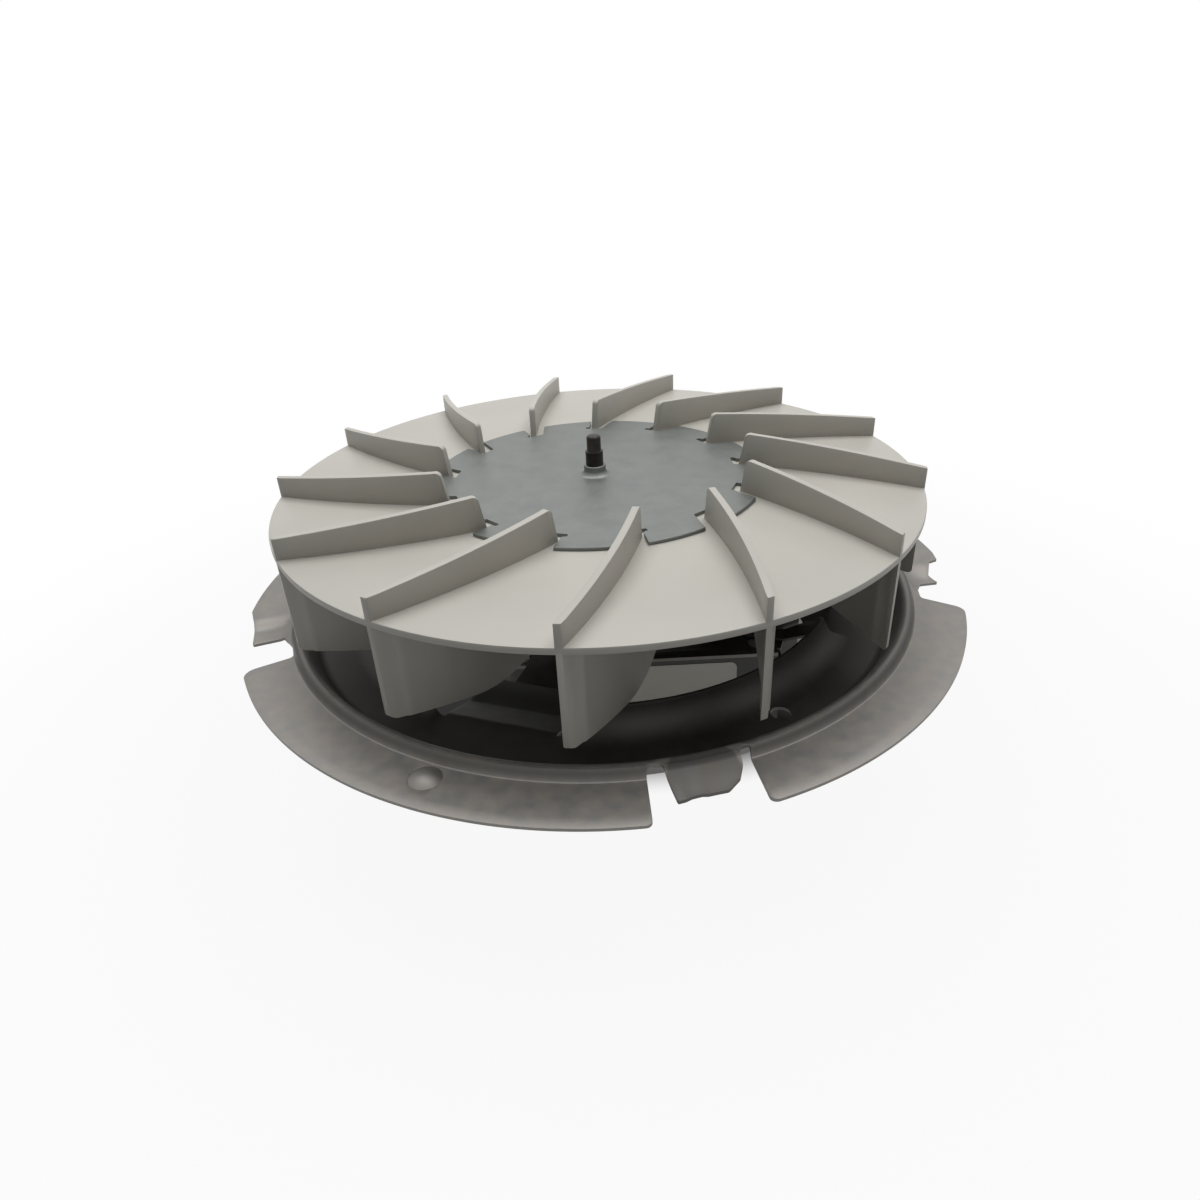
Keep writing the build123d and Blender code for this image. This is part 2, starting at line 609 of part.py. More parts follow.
# Bearing bridges: a pressed strip over each end of the rotor, with a seat for the bearing's ball.
bridge_ends = {
    "lower": (LOWER_BEARING_Z, -1, STACK_BOTTOM),
    "upper": (UPPER_BEARING_Z, 1, bracket_top),
}
for end_name, (bearing_z, away, foot_level) in bridge_ends.items():
    plateau_middle = bearing_z + away * (LOWER_BEARING_Z - BRIDGE_T / 2)
    foot_middle = foot_level + away * BRIDGE_T / 2
    with BuildPart() as bearing_bridge:
        with BuildSketch(Plane.YZ):
            with BuildLine(mode=Mode.PRIVATE) as bridge_line:
                FilletPolyline(
                    (-BRIDGE_FOOT_END, foot_middle),
                    (-BRIDGE_FOOT_START, foot_middle),
                    (-BRIDGE_PLATEAU_HALF, plateau_middle),
                    (BRIDGE_PLATEAU_HALF, plateau_middle),
                    (BRIDGE_FOOT_START, foot_middle),
                    (BRIDGE_FOOT_END, foot_middle),
                    radius=1.0,
                )
            trace(bridge_line.line, line_width=BRIDGE_T)
        extrude(amount=BRIDGE_WIDTH / 2, both=True)
        with BuildSketch(Plane.XY.offset(foot_middle)):
            with Locations((0, -BOLT_Y), (0, BOLT_Y)):
                Circle(BOLT_HOLE_R)
        extrude(amount=BRIDGE_T, both=True, mode=Mode.SUBTRACT)
        with Locations((0, 0, bearing_z)):
            Sphere(BEARING_SPHERE_R + BEARING_PLAY, mode=Mode.SUBTRACT)
    finish(bearing_bridge, f"{end_name}_bearing_bridge")

    # Bearing: a sintered bush with a ball-shaped outside.
    with BuildPart() as bearing:
        with Locations((0, 0, bearing_z)):
            Sphere(BEARING_SPHERE_R)
            Cylinder(SHAFT_R + BEARING_PLAY, 20, mode=Mode.SUBTRACT)
            Box(20, 20, 2 * BEARING_HALF_LENGTH, mode=Mode.INTERSECT)
    finish(bearing, f"{end_name}_bearing")

    # Bearing cap: it holds the ball against its seat.
    cap_base = bearing_z + away * (LOWER_BEARING_Z - BRIDGE_T)
    cap_end = bearing_z - away * 2.6
    cap_profile_plane = Plane(origin=(0, 0, cap_base), x_dir=(1, 0, 0), z_dir=(0, away, 0))
    cap_h = abs(cap_end - cap_base)
    with BuildPart() as bearing_cap:
        with BuildSketch(cap_profile_plane):
            with BuildLine():
                Polyline(
                    (BEARING_CAP_R, 0),
                    (BEARING_CAP_R, cap_h),
                    (5.0, cap_h),
                    (5.0, cap_h - BEARING_CAP_T),
                    (BEARING_CAP_R - BEARING_CAP_T, cap_h - BEARING_CAP_T),
                    (BEARING_CAP_R - BEARING_CAP_T, 0),
                    close=True,
                )
            make_face()
        revolve(axis=Axis.Z)
        with Locations((0, 0, bearing_z)):
            Sphere(BEARING_SPHERE_R + BEARING_PLAY, mode=Mode.SUBTRACT)
    finish(bearing_cap, f"{end_name}_bearing_cap")

    # Oil felt: a ring round the ball, inside the cap.
    with BuildPart() as oil_felt:
        with BuildSketch(cap_profile_plane.offset(0)):
            with BuildLine():
                Polyline(
                    (6.2, 0.1),
                    (BEARING_CAP_R - BEARING_CAP_T - 0.1, 0.1),
                    (BEARING_CAP_R - BEARING_CAP_T - 0.1, cap_h - BEARING_CAP_T - 0.1),
                    (6.2, cap_h - BEARING_CAP_T - 0.1),
                    close=True,
                )
            make_face()
        revolve(axis=Axis.Z)
    finish(oil_felt, f"{end_name}_oil_felt")

# Motor screws and nuts: they clamp both bridges, the bracket and the laminations together.
SCREW_HEAD_R = 3.6
SCREW_HEAD_H = 2.6
NUT_R = 4.0
NUT_H = 3.2
screw_seat = bracket_top + BRIDGE_T
nut_seat = STACK_BOTTOM - BRIDGE_T
with BuildPart() as motor_screws:
    with BuildSketch(Plane.XY.offset(nut_seat - NUT_H - 1.0)):
        with Locations((0, -BOLT_Y), (0, BOLT_Y)):
            Circle(BOLT_R)
    extrude(amount=screw_seat - (nut_seat - NUT_H - 1.0))
    with BuildSketch(Plane.XY.offset(screw_seat)):
        with Locations((0, -BOLT_Y), (0, BOLT_Y)):
            Circle(SCREW_HEAD_R)
    extrude(amount=SCREW_HEAD_H)
    chamfer(motor_screws.edges().group_by(Axis.Z)[-1], length=0.6)
finish(motor_screws, "motor_screws")

with BuildPart() as motor_nuts:
    with BuildSketch(Plane.XY.offset(nut_seat - NUT_H)):
        with Locations((0, -BOLT_Y), (0, BOLT_Y)):
            RegularPolygon(NUT_R, 6)
            Circle(BOLT_R, mode=Mode.SUBTRACT)
    extrude(amount=NUT_H)
finish(motor_nuts, "motor_nuts")

# Earth tab: a push-on terminal riveted flat on the motor bracket.
with BuildPart() as earth_tab:
    with BuildSketch(Plane.XY.offset(bracket_top)) as earth_outline:
        with Locations((-31.0, -8.0)):
            Rectangle(18.0, TAB_W)
        chamfer(earth_outline.vertices().group_by(Axis.X)[0], length=1.2)
        with Locations((-36.5, -8.0)):
            Circle(0.9, mode=Mode.SUBTRACT)
    extrude(amount=TAB_T)
    with BuildSketch(Plane.XY.offset(bracket_top + TAB_T)):
        with Locations((-26.0, -8.0)):
            Circle(2.0)
    extrude(amount=0.8)
finish(earth_tab, "earth_tab")

# Label: a bare plate on the laminations' front face.
LABEL_T = 0.15
with BuildPart() as rating_label:
    with BuildSketch(Plane.XZ.offset(STACK_HALF_W)):
        with Locations(((LABEL_LEFT + LABEL_RIGHT) / 2, (LABEL_BOTTOM + LABEL_TOP) / 2)):
            RectangleRounded(LABEL_RIGHT - LABEL_LEFT, LABEL_TOP - LABEL_BOTTOM, 2.0)
    extrude(amount=LABEL_T)
finish(rating_label, "rating_label")
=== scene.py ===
from math import asin, atan2, cos, degrees, hypot, pi, radians, sin, tan

import bmesh
import bpy
from mathutils import Matrix, Vector


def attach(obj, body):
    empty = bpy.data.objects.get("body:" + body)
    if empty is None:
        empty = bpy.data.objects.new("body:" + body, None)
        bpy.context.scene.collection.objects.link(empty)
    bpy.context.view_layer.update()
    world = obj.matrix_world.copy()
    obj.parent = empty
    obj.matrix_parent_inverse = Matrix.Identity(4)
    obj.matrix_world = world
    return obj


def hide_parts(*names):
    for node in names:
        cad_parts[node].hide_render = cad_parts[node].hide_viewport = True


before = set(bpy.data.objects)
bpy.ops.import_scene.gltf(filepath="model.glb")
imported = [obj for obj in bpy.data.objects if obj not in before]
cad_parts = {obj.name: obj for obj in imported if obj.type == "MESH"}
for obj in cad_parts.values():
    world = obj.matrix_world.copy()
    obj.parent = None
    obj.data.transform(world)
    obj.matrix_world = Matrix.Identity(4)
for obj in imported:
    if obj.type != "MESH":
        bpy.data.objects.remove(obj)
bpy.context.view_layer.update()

# Lengths are in millimetres here and become metres when a piece is finished.
MM = 0.001
# Corners closer than this after a cut are one corner.
WELD = 0.004

# Impeller
IMPELLER_R = 90.0
IMPELLER_TOP = 79.0
RING_T = 1.8
RING_EDGE = 0.35
RING_MIDDLE_R = 60.0
RING_STEPS = 208
BORE_R = 38.0
BLADES = 13
FIRST_BLADE = -123.4
PITCH = 360.0 / BLADES
BLADE_OUTER_ANGLE = 38.3
BLADE_ARC_R = 112.6
BLADE_INNER_R = 40.0
BLADE_BOTTOM = 53.2
BLADE_FLAT_R = 69.7
BLADE_KNEE = 4.5
BLADE_SLOPE = 0.711
BLADE_HALF_T = 1.1
BLADE_TIP_HALF_T = 0.84
BLADE_TIP_LENGTH = 4.5
BLADE_TIP_STATIONS = [0.0, 2.2, 4.3, 4.7]
BLADE_STATION = 1.6
BLADE_CORNER_R = 2.0
RIB_OUTER_ANGLE = 22.5
RIB_ARC_R = 216.0
RIB_INNER_R = 41.2
RIB_HALF_T = 0.9
RIB_OUTER_H = 5.6
RIB_RISE = 3.8
RIB_RUN = 47.0
RIB_STATION = 2.0
RIB_CORNER_R = 3.6
RIB_LEAN = 1.9
LEAN_REACH = 8.0
WALL_OVERLAP = 0.6
MOULDED_EDGE = 0.22

# Hub disc and shaft
HUB_R = 47.9
HUB_T = 1.0
HUB_EDGE = 0.15
COLLAR_FOOT_R = 4.7
COLLAR_BEND_R = 1.6
COLLAR_H = 2.9
COLLAR_SUNK = 0.2
NOTCH_EDGE = 0.1
SHAFT_R = 2.5
# One notch's outline as (radius, angle from its rib, rounding).
NOTCH = [
    (50.9, 10.4, 0), (50.9, 19.8, 0), (42.1, 21.0, 0.5),
    (41.7, 22.8, 0.3), (40.5, 22.8, 0.3), (40.2, 15.6, 0.6),
]

# Mounting plate: radii and the heights of the sheet's middle
PLATE_R = 104.78
PLATE_T = 0.8
FLANGE_Z = 45.1
FLANGE_STATIONS = [101.5, 98.2, 94.9]
CREASE_R = 91.2
BEAD_OUTER_R = 90.2
BEAD_INNER_R = 88.4
CREST_Z = 47.8
TROUGH_OUTER_R = 84.5
TROUGH_Z = 40.6
TROUGH_INNER_R = 76.0
MOUTH_R = 7.9
MOUTH_STEPS = 14
COLUMNS = 480
PLATE_EDGE = 0.12
HOLE_R = 2.5
HOLE_CIRCLE_R = 77.5
FIRST_HOLE = -57

# Arms. Each arm's flat root and the slope beside it are given as angles from the arm's centre line.
# The arms beside the coil are narrower on that side, and the other two are wider there.
ARM_FIRST = -110.0
ARM_ROOT_R = 69.5
ARM_BEND_R = 57.0
ARM_FOOT_R = 46.0
ARM_FOOT_Z = 36.2
ARM_HALF_ANGLE = 9.75
ARM_WIDE_ANGLE = 14.75
ARM_NARROW_ANGLE = 5.25
WIDE_SLOPE_ANGLE = 9.45
NARROW_SLOPE_ANGLE = 4.4

# Tabs and gaps. Each gap's outline is (radius, angle, rounding), out along one side and back round the tab.
BENT_TAB_ANGLES = (-77.4, 102.6)
BENT_TAB_R = 99.0
TAB_RIB_H = 0.35
LEFT_TAB_ANGLE = -165.4
LEFT_TAB_DROP = 1.7
RIGHT_TAB_ANGLE = -5.4
RIGHT_TAB_DROP = 2.1
FRONT_GAP = [
    (89.7, -85.1, 1.2), (104.8, -85.6, 1.5), (104.95, -89.6, 0), (112, -89.6, 0),
    (112, -67.6, 0), (104.95, -67.6, 0), (104.8, -71.7, 1.6), (89.7, -69.9, 0.5),
    (89.7, -71.6, 0.8), (92.8, -71.9, 1.0), (95.2, -73.0, 1.0), (96.95, -75.0, 1.5),
    (96.9, -78.9, 0), (97.3, -81.8, 0.4), (94.1, -82.25, 0), (89.7, -82.8, 1.2),
]
LEFT_GAP = [
    (91.5, -157.1, 1.5), (104.8, -156.4, 3.6), (104.95, -152.4, 0), (112, -152.4, 0),
    (112, -177.5, 0), (104.95, -177.5, 0), (104.75, -174.6, 0.5), (102.95, -171.0, 0.8),
    (102.5, -165.5, 0.5), (94.0, -165.9, 1.2), (91.3, -160.6, 1.8),
]
RIGHT_GAP = [
    (93.6, -13.0, 1.6), (104.8, -15.4, 3.6), (104.95, -19.4, 0), (112, -19.4, 0),
    (112, 4.0, 0), (104.95, 4.0, 0), (104.2, 0.9, 0.3), (101.4, 0.2, 0.4),
    (99.4, -3.2, 0.8), (101.3, -5.1, 0.3), (95.8, -5.8, 1.2), (93.5, -9.8, 1.6),
]
# The coil's room between the arms' feet: length, half width, lower and upper end.
COIL_ROOM = (58.6, 20, 33.0, 44.8)
CUT_LOW = 38.0
CUT_HIGH = 52.0

# Dimple in the flange
DIMPLE_R = 96.0
DIMPLE_ANGLE = -114.9
DIMPLE_HOLE_R = 3.85
DIMPLE_TOP = 47.0
DIMPLE_SPHERE_R = 5.56
DIMPLE_HALF_ANGLE = 43.5
DIMPLE_INNER_SPHERE_R = DIMPLE_SPHERE_R - 0.8
DIMPLE_INNER_TOP = 46.2
# The inner face is flared by this much, so that its rim meets the outer one's.
DIMPLE_FLARE = 1.16

# Painted shade on the plate's finish, in metres: its drawn parts, which lie in the impeller's shade, are
# painted darker than its flange, and the bead's crest is left lighter than its slopes, a painted highlight.
# Each stop is (radius, share of the flange's tone).
SHADED_REACH = 0.105
PLATE_PAINTED_SHADES = [
    (0.058, 0.22), (0.068, 0.22), (0.072, 0.32), (0.084, 0.4), (0.0885, 0.72), (0.0894, 0.8), (0.0902, 0.36),
    (0.0909, 0.42), (0.0914, 1.0),
]
# Painted shade on the front and back tabs: its radius, the distances over which it fades out, and its tone.
TAB_SHADE_R = 0.0945
TAB_SHADE_EDGE = (0.0083, 0.0093)
TAB_SHADE = 0.5

# Studio, in metres: the painted shadow on the floor under the motor and the painted patch of light beside it
SHADE_CENTRE = (0.010, 0.030)
SHADE_HALF_SIZE = (0.085, 0.060)
SHADE_NEAR = 1.0
SHADE_FAR = 1.3
SHADE_SHARE = 0.02
LIT_PATCH = (0.078, 0.040)
LIT_PATCH_EDGE = (0.018, 0.034)
LIT_PATCH_SHARE = 0.1
NEAR_SHARE = 0.93
BEYOND_EDGE = (0.12, 0.3)
SHADED_TONE = 0.08
FLOOR_TONE = 0.32
FLOOR_HALF_SIZE = 6.0
AMBIENT = 0.18
SOFTBOX_AT = (0.05, 0.16, 1.0)
SOFTBOX_AIM = (0, 0, 0.06)
SOFTBOX_SIZE = (1.2, 0.8)
SOFTBOX_WATTS = 11.5

# The photograph's camera: place, three axes, and focal length as a share of the picture's width
CAMERA_AT = (0, -0.227453, 0.168532)
CAMERA_RIGHT = Vector((0.998713, -0.023516, -0.044946))
CAMERA_UP = Vector((0.050687, 0.497195, 0.866157))
CAMERA_FORWARD = Vector((-0.001979, 0.867320, -0.497747))
SENSOR_W = 36.0
FOCAL_SHARE = 838.956 / 1200


def polar(radius, angle, z=0.0):
    return Vector((radius * cos(radians(angle)), radius * sin(radians(angle)), z))


def smooth_step(value, low, high):
    t = min(1.0, max(0.0, (value - low) / (high - low)))
    return t * t * (3 - 2 * t)


def make_piece(bm, name, body, node=None, sharp=35):
    """Turns a mesh in millimetres into a finished piece that rides on a body."""
    bmesh.ops.scale(bm, vec=(MM, MM, MM), verts=bm.verts)
    mesh = bpy.data.meshes.new(name)
    bm.to_mesh(mesh)
    bm.free()
    mesh.polygons.foreach_set("use_smooth", [True] * len(mesh.polygons))
    mesh.set_sharp_from_angle(angle=radians(sharp))
    piece = bpy.data.objects.new(name, mesh)
    bpy.context.scene.collection.objects.link(piece)
    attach(piece, body)
    if node:
        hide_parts(node)
    return piece


def spun_profile(bm, points, steps, closed=True):
    """Spins a profile of (radius, height) points round Z."""
    ring = [bm.verts.new((r, 0, z)) for r, z in points]
    edges = [bm.edges.new(pair) for pair in zip(ring, ring[1:])]
    if closed:
        edges.append(bm.edges.new((ring[-1], ring[0])))
    bmesh.ops.spin(
        bm, geom=ring + edges, cent=(0, 0, 0), axis=(0, 0, 1),
        angle=2 * pi, steps=steps, use_merge=True, use_duplicate=False,
    )
    bmesh.ops.remove_doubles(bm, verts=bm.verts, dist=0.001)


def bevel(bm, edges, offset, segments=2):
    bmesh.ops.bevel(
        bm, geom=list(edges), offset=offset, segments=segments, profile=0.5,
        affect="EDGES", material=-1, clamp_overlap=True,
    )


def sharp_edges(bm, angle=35):
    limit = radians(angle)
    return [e for e in bm.edges if len(e.link_faces) == 2 and e.calc_face_angle(0) > limit]


def camber_point(outer_angle, arc_r, along, aside):
    """A point of a blade in plan, along its curve from the rim and aside from its centre line."""
    turn = radians(90 - outer_angle) + along / arc_r
    x = IMPELLER_R - arc_r * sin(radians(outer_angle)) + (arc_r + aside) * cos(turn)
    y = -arc_r * cos(radians(outer_angle)) + (arc_r + aside) * sin(turn)
    return x, y


def blade_wall(outer_angle, arc_r, stations, half_widths, low_height, high_height, lean=0.0):
    """One curved wall from the rim inwards, with its heights given by the distance from the shaft.

    The inner end of its upper edge leans back towards the rim by the given length."""
    bm = bmesh.new()
    bmesh.ops.create_grid(bm, x_segments=len(stations) - 1, y_segments=1, size=1)
    columns = sorted({round(v.co.x, 4) for v in bm.verts})
    for v in bm.verts:
        column = columns.index(round(v.co.x, 4))
        side = 1 if v.co.y > 0 else -1
        x, y = camber_point(outer_angle, arc_r, stations[column], side * half_widths[column])
        if column == 0:
            x, y = IMPELLER_R * x / hypot(x, y), IMPELLER_R * y / hypot(x, y)
        v.co = (x, y, low_height(hypot(x, y)))
    base = list(bm.verts)
    bmesh.ops.recalc_face_normals(bm, faces=bm.faces)
    extruded = bmesh.ops.extrude_face_region(bm, geom=list(bm.faces))
    top = [v for v in extruded["geom"] if isinstance(v, bmesh.types.BMVert)]
    inner_end = Vector(camber_point(outer_angle, arc_r, stations[-1], 0))
    outwards = (Vector(camber_point(outer_angle, arc_r, stations[-1] - 1, 0)) - inner_end).normalized()
    for v in top:
        nearness = min(1.0, max(0.0, 1 - (v.co.xy.length - inner_end.length) / LEAN_REACH))
        v.co.xy += outwards * (lean * nearness ** 2)
        v.co.z = high_height(v.co.xy.length)
    bmesh.ops.recalc_face_normals(bm, faces=bm.faces)
    return bm, base, top


def end_edges(verts, outer):
    """The edge across a wall's thickness at its outer or inner end."""
    ranked = sorted(verts, key=lambda v: hypot(v.co.x, v.co.y), reverse=outer)[:2]
    return [e for e in ranked[0].link_edges if ranked[1] in e.verts]


def add_copy(source, target):
    """Adds a copy of one mesh to another."""
    scratch = bpy.data.meshes.new("copy")
    source.to_mesh(scratch)
    target.from_mesh(scratch)
    bpy.data.meshes.remove(scratch)


def repeat_round(source, target, count, first_angle):
    """Adds turned copies of one mesh to another, evenly round Z."""
    for index in range(count):
        part = source.copy()
        turn = Matrix.Rotation(radians(first_angle + index * 360.0 / count), 3, "Z")
        bmesh.ops.rotate(part, verts=part.verts, cent=(0, 0, 0), matrix=turn)
        add_copy(part, target)
        part.free()


# Shader groups


def group(name, inputs, outputs):
    tree = bpy.data.node_groups.new(name, "ShaderNodeTree")
    for label, kind, value in inputs:
        socket = tree.interface.new_socket(name=label, in_out="INPUT", socket_type=kind)
        socket.default_value = value
    for label, kind in outputs:
        tree.interface.new_socket(name=label, in_out="OUTPUT", socket_type=kind)
    source = tree.nodes.new("NodeGroupInput")
    target = tree.nodes.new("NodeGroupOutput")
    return tree, source, target


def node(tree, kind, **settings):
    made = tree.nodes.new(kind)
    for key, value in settings.items():
        setattr(made, key, value)
    return made


def link(tree, source, target):
    tree.links.new(source, target)


def remap(tree, source, from_low, from_high, to_low, to_high):
    ramp = node(tree, "ShaderNodeMapRange")
    ramp.inputs["From Min"].default_value = from_low
    ramp.inputs["From Max"].default_value = from_high
    ramp.inputs["To Min"].default_value = to_low
    ramp.inputs["To Max"].default_value = to_high
    link(tree, source, ramp.inputs["Value"])
    return ramp.outputs["Result"]


def make_clouds():
    """Soft patches, such as smudges on steel or flow marks in a moulding."""
    tree, source, target = group(
        "soft_patches",
        [
            ("Vector", "NodeSocketVector", (0, 0, 0)), ("Scale", "NodeSocketFloat", 40.0),
            ("Low", "NodeSocketFloat", 0.0), ("High", "NodeSocketFloat", 1.0),
        ],
        [("Value", "NodeSocketFloat")],
    )
    noise = node(tree, "ShaderNodeTexNoise")
    noise.inputs["Detail"].default_value = 5
    noise.inputs["Roughness"].default_value = 0.55
    link(tree, source.outputs["Vector"], noise.inputs["Vector"])
    link(tree, source.outputs["Scale"], noise.inputs["Scale"])
    spread = node(tree, "ShaderNodeMapRange")
    spread.inputs["From Min"].default_value = 0.32
    spread.inputs["From Max"].default_value = 0.68
    link(tree, noise.outputs["Fac"], spread.inputs["Value"])
    link(tree, source.outputs["Low"], spread.inputs["To Min"])
    link(tree, source.outputs["High"], spread.inputs["To Max"])
    link(tree, spread.outputs["Result"], target.inputs["Value"])
    return tree


def make_grain():
    """Fine even grain for a bump."""
    tree, source, target = group(
        "fine_grain",
        [("Vector", "NodeSocketVector", (0, 0, 0)), ("Scale", "NodeSocketFloat", 2500.0)],
        [("Value", "NodeSocketFloat")],
    )
    noise = node(tree, "ShaderNodeTexNoise")
    noise.inputs["Detail"].default_value = 3
    link(tree, source.outputs["Vector"], noise.inputs["Vector"])
    link(tree, source.outputs["Scale"], noise.inputs["Scale"])
    link(tree, noise.outputs["Fac"], target.inputs["Value"])
    return tree


def make_spangle():
    """The crystal patches of zinc plating."""
    tree, source, target = group(
        "zinc_spangle",
        [("Vector", "NodeSocketVector", (0, 0, 0)), ("Scale", "NodeSocketFloat", 350.0)],
        [("Value", "NodeSocketFloat")],
    )
    cells = node(tree, "ShaderNodeTexVoronoi", feature="F1")
    cells.inputs["Randomness"].default_value = 1.0
    warp = node(tree, "ShaderNodeTexNoise")
    warp.inputs["Detail"].default_value = 4
    tone = node(tree, "ShaderNodeSeparateColor")
    blend = node(tree, "ShaderNodeMath", operation="MULTIPLY_ADD")
    blend.inputs[1].default_value = 0.55
    link(tree, source.outputs["Vector"], cells.inputs["Vector"])
    link(tree, source.outputs["Scale"], cells.inputs["Scale"])
    link(tree, source.outputs["Vector"], warp.inputs["Vector"])
    link(tree, source.outputs["Scale"], warp.inputs["Scale"])
    link(tree, cells.outputs["Color"], tone.inputs["Color"])
    link(tree, tone.outputs["Red"], blend.inputs[0])
    half = node(tree, "ShaderNodeMath", operation="MULTIPLY")
    half.inputs[1].default_value = 0.45
    link(tree, warp.outputs["Fac"], half.inputs[0])
    link(tree, half.outputs["Value"], blend.inputs[2])
    link(tree, blend.outputs["Value"], target.inputs["Value"])
    return tree


def make_layers():
    """Thin layers stacked along Z, such as laminations or turns of wire."""
    tree, source, target = group(
        "stacked_layers",
        [("Vector", "NodeSocketVector", (0, 0, 0)), ("Pitch", "NodeSocketFloat", 0.0005)],
        [("Value", "NodeSocketFloat")],
    )
    parts = node(tree, "ShaderNodeSeparateXYZ")
    count = node(tree, "ShaderNodeMath", operation="DIVIDE")
    saw = node(tree, "ShaderNodeMath", operation="FRACT")
    centre = node(tree, "ShaderNodeMath", operation="SUBTRACT")
    centre.inputs[1].default_value = 0.5
    size = node(tree, "ShaderNodeMath", operation="ABSOLUTE")
    link(tree, source.outputs["Vector"], parts.inputs["Vector"])
    link(tree, parts.outputs["Z"], count.inputs[0])
    link(tree, source.outputs["Pitch"], count.inputs[1])
    link(tree, count.outputs["Value"], saw.inputs[0])
    link(tree, saw.outputs["Value"], centre.inputs[0])
    link(tree, centre.outputs["Value"], size.inputs[0])
    link(tree, size.outputs["Value"], target.inputs["Value"])
    return tree


clouds_group = make_clouds()
grain_group = make_grain()
spangle_group = make_spangle()
layers_group = make_layers()


def linear(rgb):
    """A colour seen on screen, from 0 to 255, as Blender's own value."""
    levels = [c / 255 for c in rgb]
    return tuple((c / 12.92) if c <= 10 / 255 else ((c + 0.055) / 1.055) ** 2.4 for c in levels) + (1.0,)


def place(tree, shared, **values):
    made = node(tree, "ShaderNodeGroup")
    made.node_tree = shared
    for key, value in values.items():
        made.inputs[key].default_value = value
    return made


def surface(
    name, dark, light, patch_scale, rough_low, rough_high, metal=0.0, grain_scale=2500.0, grain_depth=0.00002,
    pattern=None, pattern_scale=None, pattern_share=0.5, sheen=0.0,
):
    """A finish that runs between two colours in soft patches, with a fine grain in its bump."""
    made = bpy.data.materials.new(name)
    made.use_nodes = True
    tree = made.node_tree
    shader = tree.nodes["Principled BSDF"]
    shader.inputs["Metallic"].default_value = metal
    shader.inputs["Sheen Weight"].default_value = sheen
    where = node(tree, "ShaderNodeTexCoord")
    patches = place(tree, clouds_group, Scale=patch_scale)
    link(tree, where.outputs["Object"], patches.inputs["Vector"])
    tone = patches.outputs["Value"]
    if pattern:
        extra = place(tree, pattern, **pattern_scale)
        link(tree, where.outputs["Object"], extra.inputs["Vector"])
        share = node(tree, "ShaderNodeMix", data_type="FLOAT")
        share.inputs["Factor"].default_value = pattern_share
        link(tree, tone, share.inputs["A"])
        link(tree, extra.outputs["Value"], share.inputs["B"])
        tone = share.outputs["Result"]
    colour = node(tree, "ShaderNodeMix", data_type="RGBA")
    colour.inputs["A"].default_value = linear(dark)
    colour.inputs["B"].default_value = linear(light)
    link(tree, tone, colour.inputs["Factor"])
    link(tree, colour.outputs["Result"], shader.inputs["Base Color"])
    link(tree, remap(tree, tone, 0, 1, rough_low, rough_high), shader.inputs["Roughness"])
    fine = place(tree, grain_group, Scale=grain_scale)
    link(tree, where.outputs["Object"], fine.inputs["Vector"])
    bump = node(tree, "ShaderNodeBump")
    bump.inputs["Strength"].default_value = 1.0
    bump.inputs["Distance"].default_value = grain_depth
    link(tree, fine.outputs["Value"], bump.inputs["Height"])
    link(tree, bump.outputs["Normal"], shader.inputs["Normal"])
    return made


def distance_mask(tree, centre, half_size, near, far, low, high):
    """Runs from low to high as the distance from a centre, in half sizes, goes from near to far."""
    where = node(tree, "ShaderNodeTexCoord")
    spread = node(tree, "ShaderNodeMapping")
    spread.inputs["Location"].default_value = (-centre[0] / half_size[0], -centre[1] / half_size[1], 0)
    spread.inputs["Scale"].default_value = (1 / half_size[0], 1 / half_size[1], 0)
    length = node(tree, "ShaderNodeVectorMath", operation="LENGTH")
    link(tree, where.outputs["Object"], spread.inputs["Vector"])
    link(tree, spread.outputs["Vector"], length.inputs[0])
    ramp = remap(tree, length.outputs["Value"], near, far, low, high)
    ramp.node.interpolation_type = "SMOOTHSTEP"
    return ramp


def multiply_colour(material, grey):
    """Multiplies a finish's colour by a grey value or colour."""
    tree = material.node_tree
    shader = tree.nodes["Principled BSDF"]
    colour = shader.inputs["Base Color"].links[0].from_socket
    shaded = node(tree, "ShaderNodeMix", data_type="RGBA", blend_type="MULTIPLY")
    shaded.inputs["Factor"].default_value = 1.0
    link(tree, colour, shaded.inputs["A"])
    link(tree, grey, shaded.inputs["B"])
    link(tree, shaded.outputs["Result"], shader.inputs["Base Color"])


def paint_shade_spot(material, centre, near, far, tone):
    """Paints shade on a finish: makes it darker within a distance of an upright line."""
    multiply_colour(material, distance_mask(material.node_tree, centre, (1, 1), near, far, tone, 1.0))


def paint_shade_by_radius(material, stops):
    """Paints shade by radius: multiplies a finish's colour by a grey that depends on the distance from the
    shaft's axis.
    """
    tree = material.node_tree
    where = node(tree, "ShaderNodeTexCoord")
    flat = node(tree, "ShaderNodeMapping")
    flat.inputs["Scale"].default_value = (1 / SHADED_REACH, 1 / SHADED_REACH, 0)
    length = node(tree, "ShaderNodeVectorMath", operation="LENGTH")
    ramp = node(tree, "ShaderNodeValToRGB")
    link(tree, where.outputs["Object"], flat.inputs["Vector"])
    link(tree, flat.outputs["Vector"], length.inputs[0])
    link(tree, length.outputs["Value"], ramp.inputs["Fac"])
    spots = ramp.color_ramp.elements
    spots.remove(spots[1])
    for index, (radius, tone) in enumerate(stops):
        spot = spots[0] if index == 0 else spots.new(radius / SHADED_REACH)
        spot.position = radius / SHADED_REACH
        spot.color = (tone, tone, tone, 1)
    multiply_colour(material, ramp.outputs["Color"])


